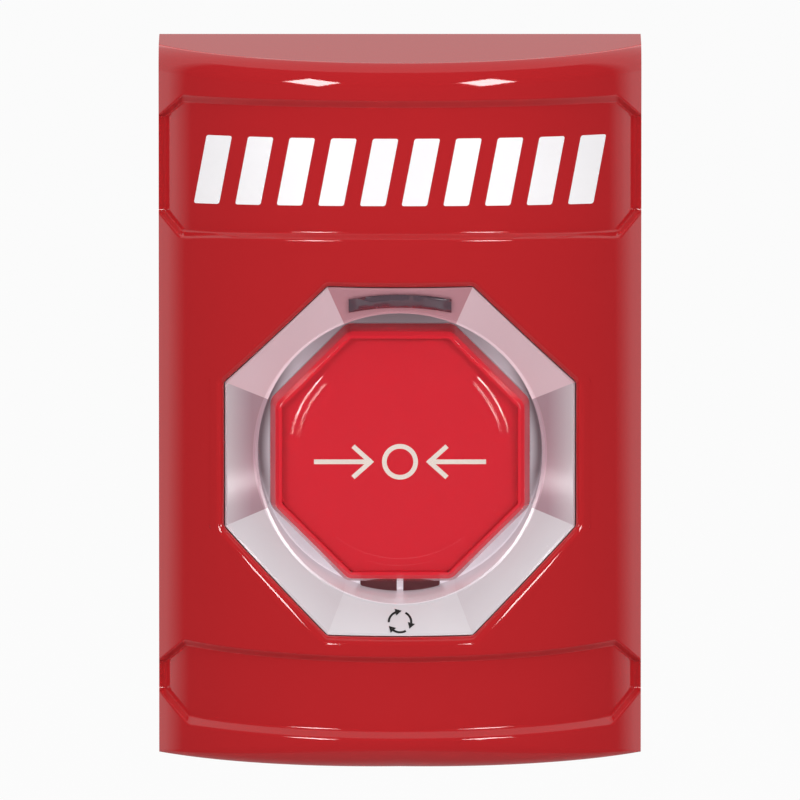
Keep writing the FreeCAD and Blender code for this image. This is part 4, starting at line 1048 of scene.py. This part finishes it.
def cap_plastic(name):
    """Clear moulding over the red tray: its walls carry the tray's red, its skirt is clear and milky."""
    material, net = new_material(name)
    point = net.object_point()
    x, y, z = net.axes(point)
    across = net.math("ABSOLUTE", x, 0.0)
    up = net.math("ABSOLUTE", z - BUTTON_Z * MM, 0.0)
    reach = net.math("MAXIMUM", net.math("MAXIMUM", across, up), (across + up) * math.sqrt(0.5))
    in_wall = (reach > (TRAY_ACROSS / 2 - 0.15) * MM) * (y < -(CAP_BACK + SKIRT_HEIGHT) * MM)
    in_skirt = y > -(CAP_BACK + SKIRT_HEIGHT) * MM
    gloss_roughness = 0.03 + 0.03 * net.noise(point, 200)
    seen = net.node("ShaderNodeBsdfTransparent", None, {"Color": (0.98, 0.98, 0.98, 1)})
    gloss = net.node("ShaderNodeBsdfGlossy", None, {"Color": (1, 1, 1, 1), "Roughness": 0.04})
    facing = net.out(net.node("ShaderNodeLayerWeight", None, {"Blend": 0.5}), "Facing")
    mirror = 0.04 + 0.9 * net.math("POWER", facing, 5.0)
    clear = net.mix_shader(mirror, seen, gloss)
    red, milk = [
        net.node("ShaderNodeBsdfPrincipled", None, {"Base Color": colour, "Roughness": gloss_roughness})
        for colour in ((0.74, 0.022, 0.038, 1), (0.85, 0.72, 0.78, 1))
    ]
    walled = net.mix_shader(in_wall * 0.92, clear, red)
    net.output(net.mix_shader(in_skirt * 0.3, walled, milk))
    return material


MATERIALS = {
    "housing_red": housing_plastic("housing_red"),
    "bezel_white": dish_plastic("bezel_white"),
    "lens_smoke": plastic("lens_smoke", (0.10, 0.064, 0.082), 0.1, 0.1, coat=0.3),
    "board_green": plastic("board_green", (0.02, 0.16, 0.06), 0.45, 0.15),
    "lamp_clear": plastic("lamp_clear", (0.85, 0.8, 0.5), 0.15),
    "insert_red": plastic("insert_red", (0.78, 0.018, 0.036), 0.2, 0.02, 0.000001, 2500),
    "base_white": plastic("base_white", (0.75, 0.74, 0.72), 0.4, 0.03, 0.000002),
    "cam_natural": plastic("cam_natural", (0.78, 0.77, 0.72), 0.4, 0.03, 0.000002),
    "latch_black": plastic("latch_black", (0.03, 0.03, 0.032), 0.42, 0.2, 0.000008, 3500),
    "plate_black": plastic("plate_black", (0.035, 0.035, 0.038), 0.45, 0.2, 0.00001, 3500),
    "block_red": plastic("block_red", (0.5, 0.03, 0.03), 0.4, 0.05, 0.000005),
    "block_green": plastic("block_green", (0.03, 0.3, 0.1), 0.4, 0.05, 0.000005),
    "contact_brass": plastic("contact_brass", (0.72, 0.5, 0.22), 0.3, 0.1, 0.000003, metallic=1.0),
    "steel": plastic("steel", (0.6, 0.6, 0.6), 0.32, 0.08, 0.000003, metallic=1.0),
    "cap_clear": cap_plastic("cap_clear"),
    "print_white": plastic("print_white", (0.97, 0.95, 0.97), 0.35, 0.02),
    # Painted shade: the dark colour of the sheet behind the slots
    "shade_sheet_dark": plastic("shade_sheet_dark", (0.2, 0.06, 0.065), 0.8, 0.2, 0.00002, 3000),
    "print_cream": plastic("print_cream", (0.95, 0.86, 0.78), 0.4, 0.02),
    "print_black": plastic("print_black", (0.004, 0.004, 0.004), 0.75, 0.1),
}


# Frame and CAD copies

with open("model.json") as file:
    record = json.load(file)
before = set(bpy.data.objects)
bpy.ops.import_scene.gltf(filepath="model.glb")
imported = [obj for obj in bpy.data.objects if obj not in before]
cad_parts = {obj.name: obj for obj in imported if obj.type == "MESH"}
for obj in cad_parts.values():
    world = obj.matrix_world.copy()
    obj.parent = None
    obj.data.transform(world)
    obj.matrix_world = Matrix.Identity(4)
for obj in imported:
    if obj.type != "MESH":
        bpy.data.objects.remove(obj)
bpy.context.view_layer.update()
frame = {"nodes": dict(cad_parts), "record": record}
body_of = {node: body for body, nodes in frame["record"]["behaviour"]["bodies"].items() for node in nodes}
slot_of = {part["node"]: part["material_slot"] for part in frame["record"]["subparts"]}


def smooth_copy(node):
    """A merged copy of a CAD node with smooth shading on its round faces."""
    source = frame["nodes"][node]
    mesh = source.data.copy()
    mesh.transform(source.matrix_world)
    copy = bpy.data.objects.new(node + "_piece", mesh)
    bpy.context.collection.objects.link(copy)
    only(copy)
    bpy.ops.object.mode_set(mode="EDIT")
    bpy.ops.mesh.select_all(action="SELECT")
    bpy.ops.mesh.remove_doubles(threshold=1e-6)
    bpy.ops.mesh.select_all(action="SELECT")
    bpy.ops.mesh.normals_make_consistent(inside=False)
    leave()
    smooth(copy, 28.0)
    mesh.materials.clear()
    mesh.materials.append(MATERIALS[slot_of[node]])
    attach(copy, body_of[node])
    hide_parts(node)
    return copy


finish_piece(front_shell(), "station", MATERIALS["housing_red"], ["front_housing"])
dish = merge(octagon_dish(), dish_flange())
finish_piece(dish, "station", MATERIALS["bezel_white"], ["octagon_bezel"], 12)
finish_piece(cap_shell(), "button", MATERIALS["cap_clear"], ["button_cap"])
finish_piece(insert_tray(), "button", MATERIALS["insert_red"], ["button_insert"])
# Painted shade: a dark sheet behind the slots
finish_piece(slot_shade_sheet(), "station", MATERIALS["shade_sheet_dark"])
for bar in band_bars():
    finish_piece(bar, "station", MATERIALS["print_white"])
finish_piece(press_sign(), "button", MATERIALS["print_cream"])
finish_piece(turn_sign(), "station", MATERIALS["print_black"])

MADE_HERE = {"front_housing", "octagon_bezel", "button_cap", "button_insert"}
SPRINGS = {
    "return_spring": ("button_push", (0, -0.002, BUTTON_Z * MM), 0.53),
    "plunger_spring_left": ("contact_left_slide", (-0.0115, 0.0269, BUTTON_Z * MM), 0.45),
    "plunger_spring_right": ("contact_right_slide", (0.0115, 0.0269, BUTTON_Z * MM), 0.45),
}
for node in slot_of:
    if node in MADE_HERE:
        continue
    copy = smooth_copy(node)
    if node in SPRINGS:
        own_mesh(copy)


# Light, backdrop and camera


def direction(azimuth, elevation):
    """Towards the viewer's side: azimuth 0 is straight in front, positive is to the right."""
    a, e = math.radians(azimuth), math.radians(elevation)
    return Vector((math.sin(a) * math.cos(e), -math.cos(a) * math.cos(e), math.sin(e)))


def soft_box(name, azimuth, elevation, distance, width, roll, watts):
    """A square lamp that looks at the object, turned round its own axis."""
    lamp = bpy.data.lights.new(name, "AREA")
    lamp.shape = "SQUARE"
    lamp.size = width
    lamp.energy = watts
    holder = bpy.data.objects.new(name, lamp)
    bpy.context.collection.objects.link(holder)
    towards = direction(azimuth, elevation)
    holder.location = towards * distance
    turn = (-towards).to_track_quat("-Z", "Y") @ Quaternion((0, 0, 1), math.radians(roll))
    holder.rotation_euler = turn.to_euler()
    holder.visible_glossy = False


soft_box("soft_box_left", -37.8, 17.0, 1.2, 0.39, 42, 4.15)
soft_box("soft_box_right", 37.8, 17.0, 1.2, 0.39, -42, 4.15)

world = bpy.data.worlds.new("room")
bpy.context.scene.world = world
world.use_nodes = True
room = Net(world.node_tree)
heading = room.axes(room.out(room.node("ShaderNodeTexCoord"), "Generated"))
ray = room.node("ShaderNodeLightPath")
sideways = room.math("ABSOLUTE", heading[0], 0.0)

# What a glossy surface mirrors: two tilted soft-box panels, a ceiling, side walls and a back wall
to_degrees = 180 / math.pi
lamp_azimuth = room.math("ARCTAN2", sideways, heading[1] * -1) * to_degrees - 36.1
lamp_elevation = room.math("ARCSINE", heading[2], 0.0) * to_degrees - 12.0
along = room.math("ABSOLUTE", lamp_azimuth * -0.0335 + lamp_elevation * 0.0414, 0.0)
aside = room.math("ABSOLUTE", lamp_azimuth * 0.0481 + lamp_elevation * 0.024, 0.0)
panel = (along < 0.5) * (aside < 0.5) * 20.0
ceiling = (heading[1] * 0.521 + heading[2] * 1.364 > 1.0) * 0.75
turned = room.math("DIVIDE", heading[1], sideways + 0.001)
sides = room.clamp((turned - 0.12) * 5.0) * (turned < 1.5) * 0.72
back = (heading[1] > 0.8) * 0.3
mirrored = 0.07 + room.math("MAXIMUM", ceiling, sides) + back + panel

# What lights matt surfaces: a pale sky above, and white behind the object for the camera
above = 0.1 + 1.0 * room.clamp(heading[2])
lit = room.blend(room.out(ray, "Is Glossy Ray"), above, mirrored)
strength = room.math("MAXIMUM", lit, room.out(ray, "Is Camera Ray"))
background = room.node("ShaderNodeBackground", None, {"Color": (1, 1, 1, 1), "Strength": strength})
room.node("ShaderNodeOutputWorld", None, {"Surface": background})

bpy.ops.mesh.primitive_plane_add(size=6, location=(0, 0, -0.14))
floor = bpy.context.object
floor.name = "floor"
floor_material, net = new_material("floor")
paths = net.node("ShaderNodeLightPath")
spot = net.axes(net.out(net.node("ShaderNodeNewGeometry"), "Position"))
spot_turn = net.math("DIVIDE", spot[1], net.math("ABSOLUTE", spot[0], 0.0) + 0.01)
far_side = net.clamp((spot_turn - 0.12) * 5.0)
plain = net.node("ShaderNodeBsdfDiffuse", None, {"Color": (0.7, 0.7, 0.7, 1)})
white = net.node("ShaderNodeEmission", None, {"Color": (1, 1, 1, 1), "Strength": 1.0})
dim = net.node("ShaderNodeEmission", None, {"Color": (1, 1, 1, 1), "Strength": 0.08 + 0.87 * far_side})
mirrored_floor = net.mix_shader(net.out(paths, "Is Glossy Ray"), plain, dim)
net.output(net.mix_shader(net.out(paths, "Is Camera Ray") * 0.92, mirrored_floor, white))
floor.data.materials.append(floor_material)

CAMERA_DISTANCE = 5.0
CAMERA_ELEVATION = 7.5
camera_data = bpy.data.cameras.new("camera")
camera_data.type = "PERSP"
camera_data.sensor_width = 36
camera_data.lens = 794 * CAMERA_DISTANCE / 3.0
camera_data.dof.use_dof = False
camera_data.clip_start = 0.1
camera_data.clip_end = 50
camera = bpy.data.objects.new("camera", camera_data)
bpy.context.collection.objects.link(camera)
aim = Vector((0, -0.0183, 0))
camera.location = aim + direction(0, CAMERA_ELEVATION) * CAMERA_DISTANCE
camera.rotation_euler = (aim - camera.location).to_track_quat("-Z", "Y").to_euler()
bpy.context.scene.camera = camera
bpy.context.scene.view_settings.view_transform = "Standard"
